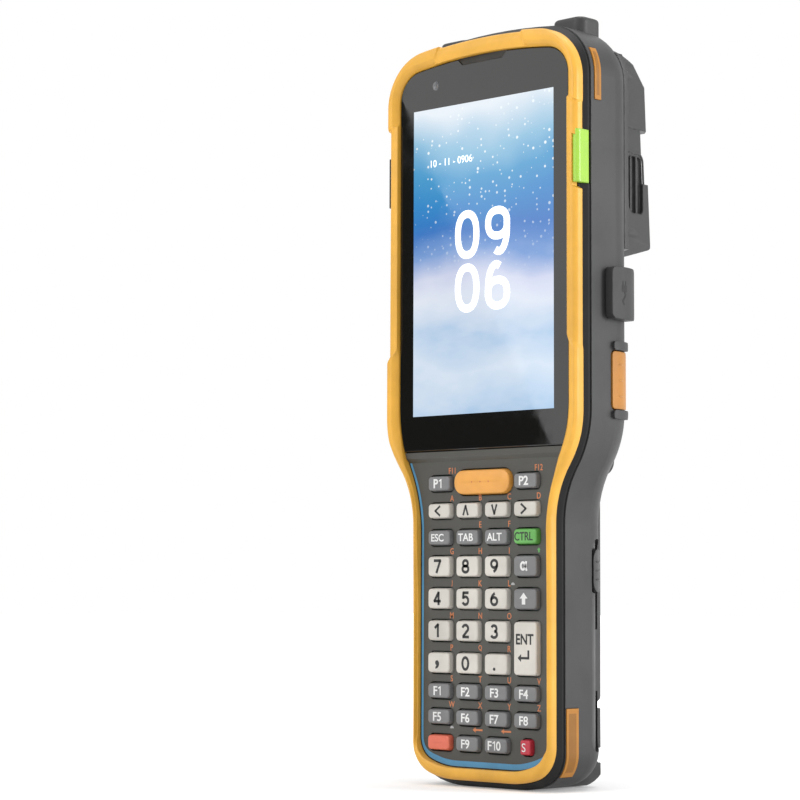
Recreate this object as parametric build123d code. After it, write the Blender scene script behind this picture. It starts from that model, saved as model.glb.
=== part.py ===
from build123d import *
from math import hypot, radians, sqrt, tan
import os

os.makedirs("parts", exist_ok=True)

# Portable barcode data terminal, standing on its foot. Millimetres, +Z up the
# device, the screen faces -Y. Depths below are counted from the front face of
# the touch glass, heights from the foot. The saved parts have their origin at
# the middle of the foot's flat face.

# ---- driving sizes -------------------------------------------------------
# case outline, seen from the front
bezel_head_width = 4.15
grip_half_width = 28.0
bezel_top_width = 6.9
taper_length = 33.0
taper_rise = 10.4
foot_corner_radius = 10.0
top_corner_radius = 16.0
foot_flat_half = 11.0
foot_bow_radius = 34.0
top_arch_radius = 200.0

# case depth
glass_thickness = 1.2
bezel_proud = 1.5
bezel_skirt = 0.5
case_split = 5.0
case_back = 27.0
back_edge_radius = 11.0
wall = 2.0

# clearances and small edges that many pieces share
fit_gap = 0.15
trim_gap = 0.1
insert_gap = 0.3
thread_gap = 0.05
edge_find = 0.01
far = 60.0

# front opening for glass and keypad
display_side_margin = 3.95
bezel_grip_width = 2.3
opening_low = 5.6
display_head_margin = 11.4
opening_taper_below = 2.0
opening_taper_above = 3.0
foot_radius_step = 3.0
top_radius_step = 7.0
keypad_head_margin = 6.0
bezel_side = 0.5
bezel_end = 2.0
bezel_lap = 1.0
bezel_edge = 1.2
glass_edge = 0.25
strip_inset = 0.4
strip_slope_width = 1.3
strip_slope_depth = 2.4

# corner bumpers of the bezel
bumper_out = 0.3
bumper_front = 0.5
bumper_edge = 1.0
top_bumper_height = 25.8
top_bumper_inner = 17.0
side_bumper_below = 11.0
side_bumper_above = 19.0

# notch in the glass for the earpiece
earpiece_high_half = 10.4
earpiece_low_half = 8.0
earpiece_drop = 2.4

# display
display_foot_margin = 7.9
display_width = 60.0
display_height = 99.0
display_thickness = 2.2
display_corner = 1.5
display_gap = 0.2

# keypad
key_pitch_x = 11.43
key_space = 2.13
key_front = -0.3
key_travel = 0.9
key_gap = 0.25
key_corner = 1.3
key_flange = 0.5
flange_thickness = 0.7
tall_key_height = 6.4
low_key_height = 4.8
f_row_space = 2.71
number_row_pitch = 9.53
control_row_space = 3.2
number_row_space = 3.0
f_row_pitch = 7.65
keypad_foot_margin = 4.7
arrow_row_space = 3.4
scan_key_space = 1.245
scan_key_height = 7.6
scan_key_rise = 1.5
small_key_width = 4.4
fascia_thickness = 1.4
fascia_recess = 1.2
board_thickness = 1.0
board_gap = 0.2
key_edge = 0.45
low_key_flat = 0.4
scan_key_flat = 0.2
key_well_margin = 1.2
lip_height = 1.8
lip_slope = 1.3
lip_drop = 0.3

# battery and its bay
battery_side_margin = 7.2
battery_low = 25.0
battery_high = 101.5
battery_crown_height = 7.4
battery_shoulder_height = 3.2
battery_slope = 6.5
bay_depth = 11.6
bay_gap = 0.3
battery_edge = 2.2
battery_low_edge = 1.8
battery_rim = 2.4
battery_inset = 1.0
battery_seat_depth = 0.6
bay_wall = 1.6
foot_block_gap = 1.8
foot_block_low = 14.5
foot_slope_height = 4.0
foot_slope_z = 5.0
foot_height = 1.5
foot_corner = 7.0
foot_crown_drop = 0.4
finger_low = 28.5
finger_high = 46.5
finger_reach = 3.6
finger_depth = 3.5
finger_under = 1.5
finger_corner = 1.5

# battery latches in their grooves
groove_low = 11.0
groove_above_latch = 3.1
groove_front_depth = 10.0
groove_back_depth = 2.0
groove_depth = 1.0
groove_corner = 3.6
latch_low = 57.4
latch_length = 12.5
latch_proud = 0.3
latch_travel = 1.5
latch_depth = 4.0
latch_inset = 0.6
latch_corner = 3.0

# scan triggers
trigger_rise = 0.3
trigger_length = 16.8
trigger_front_depth = 13.0
trigger_back_depth = 4.4
trigger_proud = 0.4
trigger_travel = 1.2
trigger_inside = 0.8
trigger_corner = 1.2
button_gap = 0.3
guard_width = 2.6
guard_proud = 1.1
guard_corner = 1.0

# cable socket, its cover and the cover's strap
port_rise = 13.1
port_height = 15.2
port_front_depth = 16.0
port_back_depth = 2.8
port_proud = 2.9
cover_gap = 0.2
port_corner = 2.0
socket_width = 3.4
socket_height = 9.0
socket_back_depth = 8.6
socket_depth = 7.5
socket_set_back = 1.2
socket_corner = 1.2
socket_wall = 0.4
socket_gap = 0.25
mouth_depth = 5.5
tongue_half = 0.35
tongue_height = 6.0
strap_width = 7.0
strap_screw_margin = 4.6
strap_thickness = 1.1
strap_wrap = 1.0
strap_corner = 1.8
strap_screw_inset = 19.5

# hand strap bar
bar_rise = 13.2
bar_end_margin = 7.9
bar_width = 10.6
bar_waist = 5.6
bar_waist_inset = 0.2
bar_thickness = 3.4
bar_seat_depth = 1.1
bar_screw_inset = 4.4
bar_corner = 3.0
bar_edge = 0.8
bar_gap = 0.2
bar_slant = 4.0
bar_screw_sink = 1.4
strap_well_depth = 6.2
strap_well_half = 15.2

# inserts and locating holes for a pistol grip
insert_side_space = 4.0
insert_rise = 3.8
insert_radius = 2.75
insert_bore = 1.25
insert_length = 5.0
insert_proud = 0.2
boss_wall = 1.5
boss_floor = 1.0
locating_drop = 5.5
locating_radius = 2.8
locating_depth = 6.0
foot_hole_inset = 1.3
foot_hole_z = 9.5
foot_hole_radius = 2.5
foot_hole_depth = 1.2

# dock slot in the back of the foot
dock_width = 18.0
dock_height = 3.2
dock_z = 6.2
dock_floor_height = 1.0
contact_pitch = 2.6
contact_width = 1.4
contact_height = 2.2
contact_proud = 1.2
contact_count = 6

# finger step across the back
step_depth = 0.8
step_middle_rise = 12.3
step_end_rise = 7.5
step_reach = 0.7
step_fade_drop = 2.3

# scan head
scan_head_margin = 8.1
scan_head_rise = 12.3
scan_head_top_drop = 4.2
scan_head_root = 13.0
scan_head_height = 17.0
scan_head_corner = 10.0
scan_head_draft = 6.0
scan_head_lean = 3.0
scan_head_chamfer = 4.2
low_slope_run = 4.5
top_slope_run = 13.0
top_slope_height = 4.0
scan_head_wall = 3.0
scan_head_sink = 1.0
scan_bumper_band = 5.0
scan_bumper_proud = 0.5
scan_bumper_edge = 2.2
top_scan_bumper_height = 24.4
low_scan_bumper_height = 23.8
scan_bumper_reach = 12.0
scan_bumper_root = 2.0
flange_reach = 5.2
flange_height = 1.6
flange_foot_margin = 2.0
flange_top_margin = 4.6
flange_screw_space = 1.6
low_screw_margin = 6.1
top_screw_margin = 4.5
flange_screw_depth = 0.1
flange_lap = 4.0
label_width = 31.0
label_height = 24.0
label_x = -0.8
label_rise = 22.7
label_depth = 0.9
label_corner = 2.0
camera_x = 11.7
camera_drop = 19.6
camera_width = 21.0
camera_height = 9.6
camera_corner = 2.5
camera_depth = 1.0
lens_glass_inset = 0.4
flash_glass_inset = 3.4
camera_rim = 0.7
pane_corner = 1.6
vent_height = 17.5
vent_width = 8.0
vent_rise = 23.0
vent_height_over_case = 9.0
vent_depth = 1.3
vent_rib = 0.8
vent_corner = 2.0
vent_rib_sink = 0.25
scan_window_width = 26.0
scan_window_depth = 9.0
scan_window_height = 6.5
window_thickness = 1.2
engine_width = 22.0
engine_height = 14.0
engine_depth = 10.0
engine_drop = 23.2
engine_corner = 1.0
engine_lens_radius = 3.0
engine_lens_proud = 1.2

# status light and accent strips
light_drop = 49.8
light_length = 15.4
light_side_margin = 2.2
light_side_proud = -0.1
light_lap = 3.1
light_proud = -0.6
light_edge = 1.2
accent_margin = 0.3
accent_width = 2.8
accent_depth = 1.0
accent_proud = 0.25
upper_accent_reach = 24.9
upper_accent_drop = 9.4
upper_accent_set_back = 1.2
lower_accent_widening = 2.5
lower_accent_low = 4.3
lower_accent_high = 24.0

# top guards
top_guard_length = 12.0
top_guard_margin = 9.1
top_guard_proud = 2.2
top_guard_front_depth = 15.5
top_guard_back_depth = 5.5
top_guard_corner = 3.0
top_guard_edge = 1.2
top_guard_root = 7.0

# screws
screw_radius = 1.7
screw_head_height = 1.0
screw_shank_radius = 0.9
screw_length = 3.0
screw_edge = 0.3
screw_recess = 0.4
strap_screw_radius = 2.1
screw_hole_depth = 9.0

# main board on its posts
main_board_standoff = 2.0
main_board_margin = 4.8
main_board_battery_space = 4.5
main_board_top_space = 12.8
main_board_thickness = 1.2
main_board_corner = 3.0
post_radius = 2.0
post_side_inset = 2.0
post_inset = 3.0

# ---- places worked out from them ------------------------------------------
key_width = key_pitch_x - key_space
scan_key_width = 3 * key_pitch_x - key_width - 2 * scan_key_space
last_row_top = opening_low + keypad_foot_margin + low_key_height
f_row_top = last_row_top + 2 * f_row_pitch
number_row_top = f_row_top + f_row_space + tall_key_height + 3 * number_row_pitch
control_row_top = number_row_top + number_row_space + low_key_height
arrow_row_top = control_row_top + control_row_space + low_key_height
program_row_top = arrow_row_top + arrow_row_space + low_key_height
scan_key_top = program_row_top + scan_key_rise
glass_low = scan_key_top + keypad_head_margin
display_centre = glass_low + display_foot_margin + display_height / 2
opening_top = display_centre + display_height / 2 + display_head_margin
case_top = opening_top + bezel_top_width
opening_head_half = display_width / 2 + display_side_margin
head_half_width = opening_head_half + bezel_head_width
opening_grip_half = grip_half_width - bezel_grip_width
taper_high = glass_low + taper_rise
taper_low = taper_high - taper_length
opening_taper_low = taper_low - opening_taper_below
opening_taper_high = taper_high + opening_taper_above
opening_foot_radius = foot_corner_radius - foot_radius_step
opening_top_radius = top_corner_radius - top_radius_step
frame_front = glass_thickness + bezel_skirt
top_bumper_low = case_top - top_bumper_height
side_bumper_low = taper_high - side_bumper_below
side_bumper_high = taper_high + side_bumper_above
earpiece_low = opening_top - earpiece_drop
battery_half = grip_half_width - battery_side_margin
battery_crown = case_back + battery_crown_height
battery_shoulder = case_back + battery_shoulder_height
battery_floor = case_back - bay_depth
battery_seat = case_back - battery_seat_depth
foot_slope_back = case_back + foot_slope_height
foot_back = case_back + foot_height
groove_front = case_back - groove_front_depth
groove_back = case_back - groove_back_depth
latch_high = latch_low + latch_length
groove_high = latch_high + groove_above_latch
trigger_low = taper_high + trigger_rise
trigger_high = trigger_low + trigger_length
trigger_front = case_back - trigger_front_depth
trigger_back = case_back - trigger_back_depth
insert_z = battery_high + insert_rise
locating_z = battery_high - locating_drop
insert_x = battery_half + insert_side_space
foot_hole_x = battery_half - foot_hole_inset
step_middle_z = insert_z + step_middle_rise
step_end_z = insert_z + step_end_rise
step_fade_z = insert_z - step_fade_drop
step_half = grip_half_width + step_reach
bar_z = step_middle_z + bar_rise
bar_half_length = head_half_width - bar_end_margin
bar_screw_x = bar_half_length - bar_screw_inset
bar_waist_half = strap_well_half - bar_waist_inset
bar_seat = case_back - bar_seat_depth
strap_well_floor = case_back - strap_well_depth
port_z = bar_z + port_rise
port_front = case_back - port_front_depth
port_back = case_back - port_back_depth
socket_y = case_back - socket_back_depth
strap_start = case_back - strap_wrap
strap_screw_x = head_half_width - strap_screw_inset
strap_end = strap_screw_x - strap_screw_margin
dock_floor = case_back + dock_floor_height
scan_head_half = head_half_width - scan_head_margin
scan_head_low = port_z + scan_head_rise
scan_head_high = case_top - scan_head_top_drop
scan_head_front = case_back - scan_head_root
scan_head_back = case_back + scan_head_height
back_face_low = scan_head_low + low_slope_run
back_face_high = scan_head_high - top_slope_run
top_slope_start = case_back + top_slope_height
scan_bumper_high = scan_head_high - top_scan_bumper_height
scan_bumper_low = scan_head_low + low_scan_bumper_height
scan_bumper_front = case_back + scan_bumper_root
flange_low = scan_head_low + flange_foot_margin
flange_high = scan_head_high - flange_top_margin
flange_screw_x = scan_head_half + flange_screw_space
flange_screw_low = flange_low + low_screw_margin
flange_screw_high = flange_high - top_screw_margin
flange_screw_seat = case_back - flange_screw_depth
label_z = scan_head_low + label_rise
camera_z = scan_head_high - camera_drop
lens_glass_low_x = camera_x - lens_glass_inset
flash_glass_high_x = camera_x - flash_glass_inset
vent_z = scan_head_low + vent_rise
vent_y = case_back + vent_height_over_case
scan_window_y = case_back + scan_window_height
engine_z = scan_head_high - engine_drop
light_low = case_top - light_drop
light_high = light_low + light_length
light_inner = opening_head_half + light_side_margin
light_outer = head_half_width + light_side_proud
light_back = frame_front + light_lap
accent_front = case_split + accent_margin
accent_back = accent_front + accent_width
upper_accent_low = case_top - upper_accent_reach
upper_accent_high = case_top - upper_accent_drop
guard_outer_x = head_half_width - top_guard_margin
guard_inner_x = guard_outer_x - top_guard_length
guard_top = case_top + top_guard_proud
guard_front = case_back - top_guard_front_depth
guard_back = case_back - top_guard_back_depth
main_board_front = case_split + main_board_standoff
main_board_half = head_half_width - main_board_margin
main_board_low = battery_high + main_board_battery_space
main_board_high = case_top - main_board_top_space
post_x = main_board_half - post_side_inset


# ---- helpers -------------------------------------------------------------
def arc_corner(centre, corner, radius, outer_radius):
    """Ends and middle of a corner arc that runs from an upright side into a large arc's end."""
    reach = outer_radius - radius
    joint = tuple(c + (c - o) * radius / reach for c, o in zip(corner, centre))
    side = (corner[0] + radius, corner[1])
    chord = ((joint[0] + side[0]) / 2 - corner[0], (joint[1] + side[1]) / 2 - corner[1])
    stretch = radius / hypot(*chord)
    return side, (corner[0] + chord[0] * stretch, corner[1] + chord[1] * stretch), joint


def tapered_face(head, grip, low, high, bend_low, bend_high, low_radius, high_radius, bow, arch):
    """Outline of the case, wide at the head and narrow at the grip, with a bowed foot and an arched top.

    The sides are joined by two equal arcs, and each corner arc runs smoothly into the bow or the arch.
    """
    middle = ((head + grip) / 2, (bend_low + bend_high) / 2)
    foot_x = grip - low_radius
    foot_z = low + bow - sqrt((bow - low_radius) ** 2 - (foot_x - foot_flat_half) ** 2)
    bow_centre = (foot_flat_half, low + bow)
    foot_side, foot_corner_middle, foot_joint = arc_corner(bow_centre, (foot_x, foot_z), low_radius, bow)
    top_x = head - high_radius
    top_z = high - arch + sqrt((arch - high_radius) ** 2 - top_x**2)
    arch_centre = (0, high - arch)
    top_side, top_corner_middle, top_joint = arc_corner(arch_centre, (top_x, top_z), high_radius, arch)
    bow_arc = TangentArc((foot_flat_half, low), foot_joint, tangent=(1, 0))
    foot_corner_arc = ThreePointArc(foot_joint, foot_corner_middle, foot_side)
    grip_side = Line(foot_side, (grip, bend_low))
    lower_bend = TangentArc((grip, bend_low), middle, tangent=(0, 1))
    upper_bend = TangentArc(middle, (head, bend_high), tangent=lower_bend % 1)
    head_side = Line((head, bend_high), top_side)
    top_corner_arc = ThreePointArc(top_side, top_corner_middle, top_joint)
    side = [bow_arc, foot_corner_arc, grip_side, lower_bend, upper_bend, head_side, top_corner_arc]
    side = Curve() + side
    foot = Line((-foot_flat_half, low), (foot_flat_half, low))
    top = ThreePointArc(top_joint, (0, high), (-top_joint[0], top_joint[1]))
    return make_face(side + mirror(side, Plane.YZ) + [foot, top])


def case_face(inset=0.0):
    return tapered_face(
        head_half_width - inset,
        grip_half_width - inset,
        inset,
        case_top - inset,
        taper_low,
        taper_high,
        foot_corner_radius - inset,
        top_corner_radius - inset,
        foot_bow_radius - inset,
        top_arch_radius - inset,
    )


def opening_face(inset=0.0):
    return tapered_face(
        opening_head_half - inset,
        opening_grip_half - inset,
        opening_low + inset,
        opening_top - inset,
        opening_taper_low,
        opening_taper_high,
        opening_foot_radius - inset,
        opening_top_radius - inset,
        foot_bow_radius - opening_low - inset,
        top_arch_radius - bezel_top_width - inset,
    )


def bezel_face(inset=0.0):
    return tapered_face(
        head_half_width - bezel_side - inset,
        grip_half_width - bezel_side - inset,
        bezel_end + inset,
        case_top - bezel_end - inset,
        taper_low,
        taper_high,
        foot_corner_radius - inset,
        top_corner_radius - inset,
        foot_bow_radius - bezel_end - inset,
        top_arch_radius - bezel_end - inset,
    )


def slab(face, y_front, y_back):
    """A flat face in x and z, made solid between two depths."""
    return extrude(Plane.XZ.offset(-y_back) * face, amount=y_back - y_front)


def block(x_low, x_high, y_low, y_high, z_low, z_high):
    size = (x_high - x_low, y_high - y_low, z_high - z_low)
    return Pos((x_low + x_high) / 2, (y_low + y_high) / 2, (z_low + z_high) / 2) * Box(*size)


def rounded_slab(x_centre, z_centre, width, height, radius, y_front, y_back):
    face = Pos(x_centre, z_centre) * RectangleRounded(width, height, radius)
    return slab(face, y_front, y_back)


def side_slab(y_low, y_high, z_low, z_high, radius, x_low, x_high):
    """A rounded rectangle seen from the side, made solid between two values of x."""
    face = Pos((y_low + y_high) / 2, (z_low + z_high) / 2)
    face = face * RectangleRounded(y_high - y_low, z_high - z_low, radius)
    return extrude(Plane.YZ.offset(x_low) * face, amount=x_high - x_low)


def back_rod(x, z, radius, y_front, y_back):
    return slab(Pos(x, z) * Circle(radius), y_front, y_back)


def edges_at(solid, axis, place):
    """The edges of a solid that lie in one plane across an axis."""
    return solid.edges().filter_by_position(axis, place - edge_find, place + edge_find)


def band(y_low, y_high, z_low, z_high):
    """A block across the whole width."""
    return block(-far, far, y_low, y_high, z_low, z_high)


def side_cut(points):
    """A prism across the whole width, from points given as depth and height."""
    return extrude(Plane.YZ.offset(-far) * make_face(Polyline(*points, close=True)), amount=2 * far)


def case_form(inset, y_front, y_back, radius):
    """The rear case's form, with its back edge rounded, inset all round."""
    solid = slab(case_face(inset), y_front, y_back)
    return fillet(edges_at(solid, Axis.Y, y_back), radius)


def grown_case(proud):
    """The rear case's form, grown or, below nought, shrunk by one amount all round."""
    return case_form(-proud, case_split, case_back + proud, back_edge_radius + proud)


def skin(proud, depth):
    """A skin over the rear case from depth inside its face to proud of it."""
    return grown_case(proud) - grown_case(-depth)


def both_sides(solid):
    return [solid, mirror(solid, Plane.YZ)]


# ---- pieces --------------------------------------------------------------
def key_places():
    """Name, centre x, top z, width and height of every key."""
    columns = [(index - 1.5) * key_pitch_x for index in range(4)]
    places = [
        ("scan", 0.0, scan_key_top, scan_key_width, scan_key_height),
        ("program_1", columns[0], program_row_top, key_width, low_key_height),
        ("program_2", columns[3], program_row_top, key_width, low_key_height),
    ]
    for name, x in zip(("left", "up", "down", "right"), columns):
        places.append((name, x, arrow_row_top, key_width, low_key_height))
    for name, x in zip(("escape", "tab", "alt", "control"), columns):
        places.append((name, x, control_row_top, key_width, low_key_height))
    number_rows = [("7", "8", "9", "alpha"), ("4", "5", "6", "shift"), ("1", "2", "3", "enter")]
    number_rows.append(("comma", "0", "point"))
    for row, names in enumerate(number_rows):
        top = number_row_top - row * number_row_pitch
        for name, x in zip(names, columns):
            height = tall_key_height + (number_row_pitch if name == "enter" else 0.0)
            places.append((name, x, top, key_width, height))
    for row, first in enumerate((1, 5)):
        for step, x in enumerate(columns):
            top = f_row_top - row * f_row_pitch
            places.append((f"f{first + step}", x, top, key_width, low_key_height))
    for name, x in zip(("orange", "f9", "f10"), columns):
        places.append((name, x, last_row_top, key_width, low_key_height))
    places.append(("red", columns[3], last_row_top, small_key_width, low_key_height))
    return places


fascia_front = fascia_recess
fascia_back = fascia_front + fascia_thickness
flange_front = fascia_back + key_gap
flange_back = flange_front + flange_thickness
keypad_board_front = flange_back + key_travel + trim_gap
keypad_well_top = glass_low - key_well_margin - lip_height


def key_corner_radius(width, height):
    if width > 2 * key_width:
        return height / 2 - scan_key_flat
    return min(key_corner, height / 2 - low_key_flat)


def key_shape(x, top, width, height):
    corner = key_corner_radius(width, height)
    centre_z = top - height / 2
    cap = rounded_slab(x, centre_z, width, height, corner, key_front, flange_front)
    cap = fillet(edges_at(cap, Axis.Y, key_front), key_edge)
    base = rounded_slab(
        x, centre_z, width + 2 * key_flange, height + 2 * key_flange, corner, flange_front, flange_back
    )
    return cap + base


def keypad_fascia():
    plate = slab(opening_face(fit_gap), fascia_front, fascia_back)
    plate = plate & band(fascia_front, fascia_back, 0, glass_low - insert_gap)
    lip_top = glass_low - insert_gap
    lip_points = [
        (fascia_back, lip_top - lip_height - lip_slope),
        (fascia_front, lip_top - lip_height - lip_slope),
        (lip_drop, lip_top - lip_height),
        (lip_drop, lip_top),
        (fascia_back, lip_top),
    ]
    plate += slab(opening_face(fit_gap), 0, fascia_back) & side_cut(lip_points)
    holes = []
    for name, x, top, width, height in key_places():
        corner = key_corner_radius(width, height) + key_gap
        size = (width + 2 * key_gap, height + 2 * key_gap)
        holes.append(rounded_slab(x, top - height / 2, *size, corner, 0, case_split))
    return plate - holes


def touch_glass():
    plate = slab(opening_face(fit_gap), 0, glass_thickness)
    plate = plate & band(0, glass_thickness, glass_low, case_top)
    plate = chamfer(edges_at(plate, Axis.Y, 0), glass_edge)
    return plate - slab(make_face(Polyline(*earpiece_points(), close=True)), -far, far)


def earpiece_points():
    """The notch in the upper edge of the glass, wider at its open side."""
    right = [(earpiece_low_half, earpiece_low), (earpiece_high_half, opening_top)]
    right.append((earpiece_high_half, opening_top + far))
    return right + [(-x, z) for x, z in reversed(right)]


def display_module():
    size = (display_width, display_height, display_corner)
    return rounded_slab(0, display_centre, *size, glass_thickness, glass_thickness + display_thickness)


def front_bezel():
    ring = slab(bezel_face(), -bezel_proud, glass_thickness)
    ring = fillet(edges_at(ring, Axis.Y, -bezel_proud), bezel_edge)
    ring += slab(bezel_face(), glass_thickness, frame_front)
    front = -bezel_proud - bumper_front
    bumper = slab(bezel_face(-bumper_out), front, frame_front - trim_gap)
    bumper = fillet(edges_at(bumper, Axis.Y, front), bumper_edge)
    corner_zones = [
        block(top_bumper_inner, far, -far, far, top_bumper_low, case_top + far),
        block(0, far, -far, far, side_bumper_low, side_bumper_high),
    ]
    for zone in corner_zones:
        for piece in both_sides(bumper & zone):
            ring += piece
    ring -= slab(opening_face(), -far, glass_thickness)
    ring -= slab(bezel_face(bezel_lap), glass_thickness, frame_front)
    ring -= light_form(trim_gap)
    return ring


def front_frame():
    land = slab(bezel_face(bezel_lap + trim_gap), glass_thickness, frame_front)
    skirt = slab(case_face(strip_inset), frame_front, case_split)
    skirt = chamfer(edges_at(skirt, Axis.Y, frame_front), strip_slope_depth, strip_slope_width)
    frame = land + skirt
    window = (display_width + 2 * display_gap, display_height + 2 * display_gap, display_corner)
    frame -= rounded_slab(0, display_centre, *window, 0, far)
    frame -= slab(opening_face(), 0, fascia_back) & band(0, far, 0, glass_low - trim_gap)
    frame -= slab(opening_face(key_well_margin), 0, far) & band(0, far, 0, keypad_well_top)
    frame -= light_form(trim_gap)
    for x in (-post_x, post_x):
        for z in (main_board_low + post_inset, main_board_high - post_inset):
            frame += back_rod(x, z, post_radius, case_split, main_board_front)
    return frame


def circuit_boards():
    back = keypad_board_front + board_thickness
    keypad_board = slab(opening_face(key_well_margin + board_gap), keypad_board_front, back)
    keypad_board = keypad_board & band(0, far, 0, keypad_well_top - board_gap)
    height = main_board_high - main_board_low
    main_board = rounded_slab(
        0,
        (main_board_low + main_board_high) / 2,
        2 * main_board_half,
        height,
        main_board_corner,
        main_board_front,
        main_board_front + main_board_thickness,
    )
    return [keypad_board, main_board]


def light_form(clearance):
    """The status light, which wraps the edge of the bezel."""
    return block(
        light_inner - clearance,
        light_outer + clearance,
        -bezel_proud - light_proud - clearance,
        light_back + clearance,
        light_low - clearance,
        light_high + clearance,
    )


def status_light():
    light = light_form(0)
    outer = light.edges().filter_by(Axis.Z).sort_by(Axis.X)[2:]
    return fillet(outer, light_edge)


def accent_zones(clearance):
    front = accent_front - clearance
    back = accent_back + clearance
    upper_y = (front + upper_accent_set_back, back + upper_accent_set_back)
    upper = block(0, far, *upper_y, upper_accent_low - clearance, upper_accent_high + clearance)
    back += lower_accent_widening
    lower = block(0, far, front, back, lower_accent_low - clearance, lower_accent_high + clearance)
    return [upper, lower]


def accent_strips():
    cover = skin(accent_proud, accent_depth)
    strips = []
    for zone in accent_zones(0):
        strips += both_sides(cover & zone)
    return strips


def trigger_form(clearance, x_low, x_high):
    return side_slab(
        trigger_front - clearance,
        trigger_back + clearance,
        trigger_low - clearance,
        trigger_high + clearance,
        trigger_corner + clearance,
        x_low,
        x_high,
    )


def scan_trigger():
    return skin(trigger_proud, wall + trigger_travel + trigger_inside) & trigger_form(0, 0, far)


bay_half = battery_half - battery_inset + bay_gap
latch_inner_x = bay_half + bay_wall + latch_travel + button_gap


def latch_form(clearance, x_low, x_high):
    return side_slab(
        groove_front + latch_inset - clearance,
        groove_back - latch_inset + clearance,
        latch_low - clearance,
        latch_high + clearance,
        latch_corner + clearance,
        x_low,
        x_high,
    )


def battery_latch():
    return skin(latch_proud, latch_depth) & latch_form(0, latch_inner_x, far)


def crowned(low, high, half, base, shoulder, crown):
    """A block with a crowned back, such as the battery's outer part."""
    section = make_face(
        Curve()
        + [
            Line((-half, base), (half, base)),
            Line((half, base), (half, shoulder)),
            ThreePointArc((half, shoulder), (0, crown), (-half, shoulder)),
            Line((-half, shoulder), (-half, base)),
        ]
    )
    return extrude(Plane.XY.offset(low) * section, amount=high - low)


def battery_pack():
    outer = crowned(
        battery_low, battery_high, battery_half, battery_seat + bay_gap, battery_shoulder, battery_crown
    )
    outer = fillet(outer.edges().filter_by(Axis.Z).sort_by(Axis.Y)[-2:], battery_edge)
    slope_points = [
        (case_back + battery_rim, battery_high),
        (battery_crown, battery_high - battery_slope),
        (far, battery_high - battery_slope),
        (far, battery_high + far),
        (case_back + battery_rim, battery_high + far),
    ]
    outer -= side_cut(slope_points)
    low_edge = edges_at(outer, Axis.Z, battery_low)
    low_edge = low_edge.filter_by_position(Axis.Y, battery_shoulder - battery_low_edge, far)
    outer = fillet(low_edge, battery_low_edge)
    inner_half = battery_half - battery_inset
    outer += block(
        -inner_half,
        inner_half,
        battery_floor,
        battery_seat + bay_gap,
        battery_low + battery_inset,
        battery_high - battery_inset,
    )
    return outer


def bay_form(grow, y_front, y_back):
    half = bay_half + grow
    low = battery_low + battery_inset - bay_gap - grow
    high = battery_high - battery_inset + bay_gap + grow
    return block(-half, half, y_front, y_back, low, high)


def strap_well(grow, y_front, y_back):
    half = strap_well_half + grow
    return block(
        -half, half, y_front, y_back, bar_z - bar_width / 2 - grow, bar_z + bar_width / 2 + grow
    )


def groove_form():
    zone = side_slab(groove_front, groove_back, groove_low, groove_high, groove_corner, 0, far)
    return skin(groove_depth, groove_depth) & zone


def rear_case():
    form = grown_case(0)
    shell = form - grown_case(-wall)
    shell += form & bay_form(bay_wall, battery_floor - bay_gap - bay_wall, case_back)
    shell += form & strap_well(bay_wall, strap_well_floor - bay_wall, case_back)
    boss_back = case_back - wall / 2
    for x in (-insert_x, insert_x):
        insert_front = case_back - insert_length - boss_floor
        shell += back_rod(x, insert_z, insert_radius + boss_wall, insert_front, boss_back)
        locating_front = case_back - locating_depth - boss_floor
        shell += back_rod(x, locating_z, locating_radius + boss_wall, locating_front, boss_back)
    shell += foot_block()
    shell += top_guards()
    guard_skin = skin(guard_proud, wall)
    for low in (trigger_low - button_gap - guard_width, trigger_high + button_gap):
        zone = side_slab(trigger_front, trigger_back, low, low + guard_width, guard_corner, 0, far)
        for ridge in both_sides(guard_skin & zone):
            shell += ridge
    shell -= bay_form(0, battery_floor - bay_gap, far)
    seat_half = battery_half + bay_gap
    seat_z = (battery_low - bay_gap, battery_high + bay_gap)
    shell -= block(-seat_half, seat_half, battery_seat, far, *seat_z)
    shell -= strap_well(0, strap_well_floor, far)
    seat = (2 * (bar_half_length + bar_gap), bar_width + 2 * bar_gap, bar_corner + bar_gap)
    shell -= rounded_slab(0, bar_z, *seat, bar_seat, far)
    for x in (-insert_x, insert_x):
        shell -= back_rod(x, insert_z, insert_radius, case_back - insert_length, far)
        shell -= back_rod(x, locating_z, locating_radius, case_back - locating_depth, far)
    latch_hole_x = latch_inner_x - latch_travel - button_gap
    cuts = [groove_form(), trigger_form(button_gap, bay_half, far)]
    cuts += [latch_form(button_gap, latch_hole_x, far), finger_notch()]
    for cut in cuts:
        for solid in both_sides(cut):
            shell -= solid
    accent_ring = skin(accent_depth, accent_depth)
    for zone in accent_zones(trim_gap):
        for solid in both_sides(accent_ring & zone):
            shell -= solid
    shell -= finger_step()
    shell -= socket_form(socket_gap, far)
    shell -= dock_slot()
    for x in (-foot_hole_x, foot_hole_x):
        shell -= back_rod(x, foot_hole_z, foot_hole_radius, case_back - foot_hole_depth, far)
    for x, z in bar_screws() + cover_screws() + [(strap_screw_x, port_z)]:
        shell -= screw_hole(x, z)
    return shell


def foot_block():
    """Raised block under the battery, with the dock slot's sloping face, down to the foot."""
    high = battery_low - foot_block_gap
    crown = battery_crown - foot_crown_drop
    raised = crowned(0, high, battery_half, case_back / 2, battery_shoulder, crown)
    raised = fillet(raised.edges().filter_by(Axis.Z).sort_by(Axis.Y)[-2:], battery_edge)
    slope_points = [
        (foot_back, 0),
        (foot_slope_back, foot_slope_z),
        (battery_crown, foot_block_low),
        (far, foot_block_low),
        (far, -far),
        (foot_back, -far),
    ]
    raised -= side_cut(slope_points)
    raised &= rounded_slab(0, high, 2 * battery_half, 2 * high, foot_corner, 0, far)
    raised &= slab(case_face(), 0, far)
    return raised - grown_case(-wall)


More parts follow.
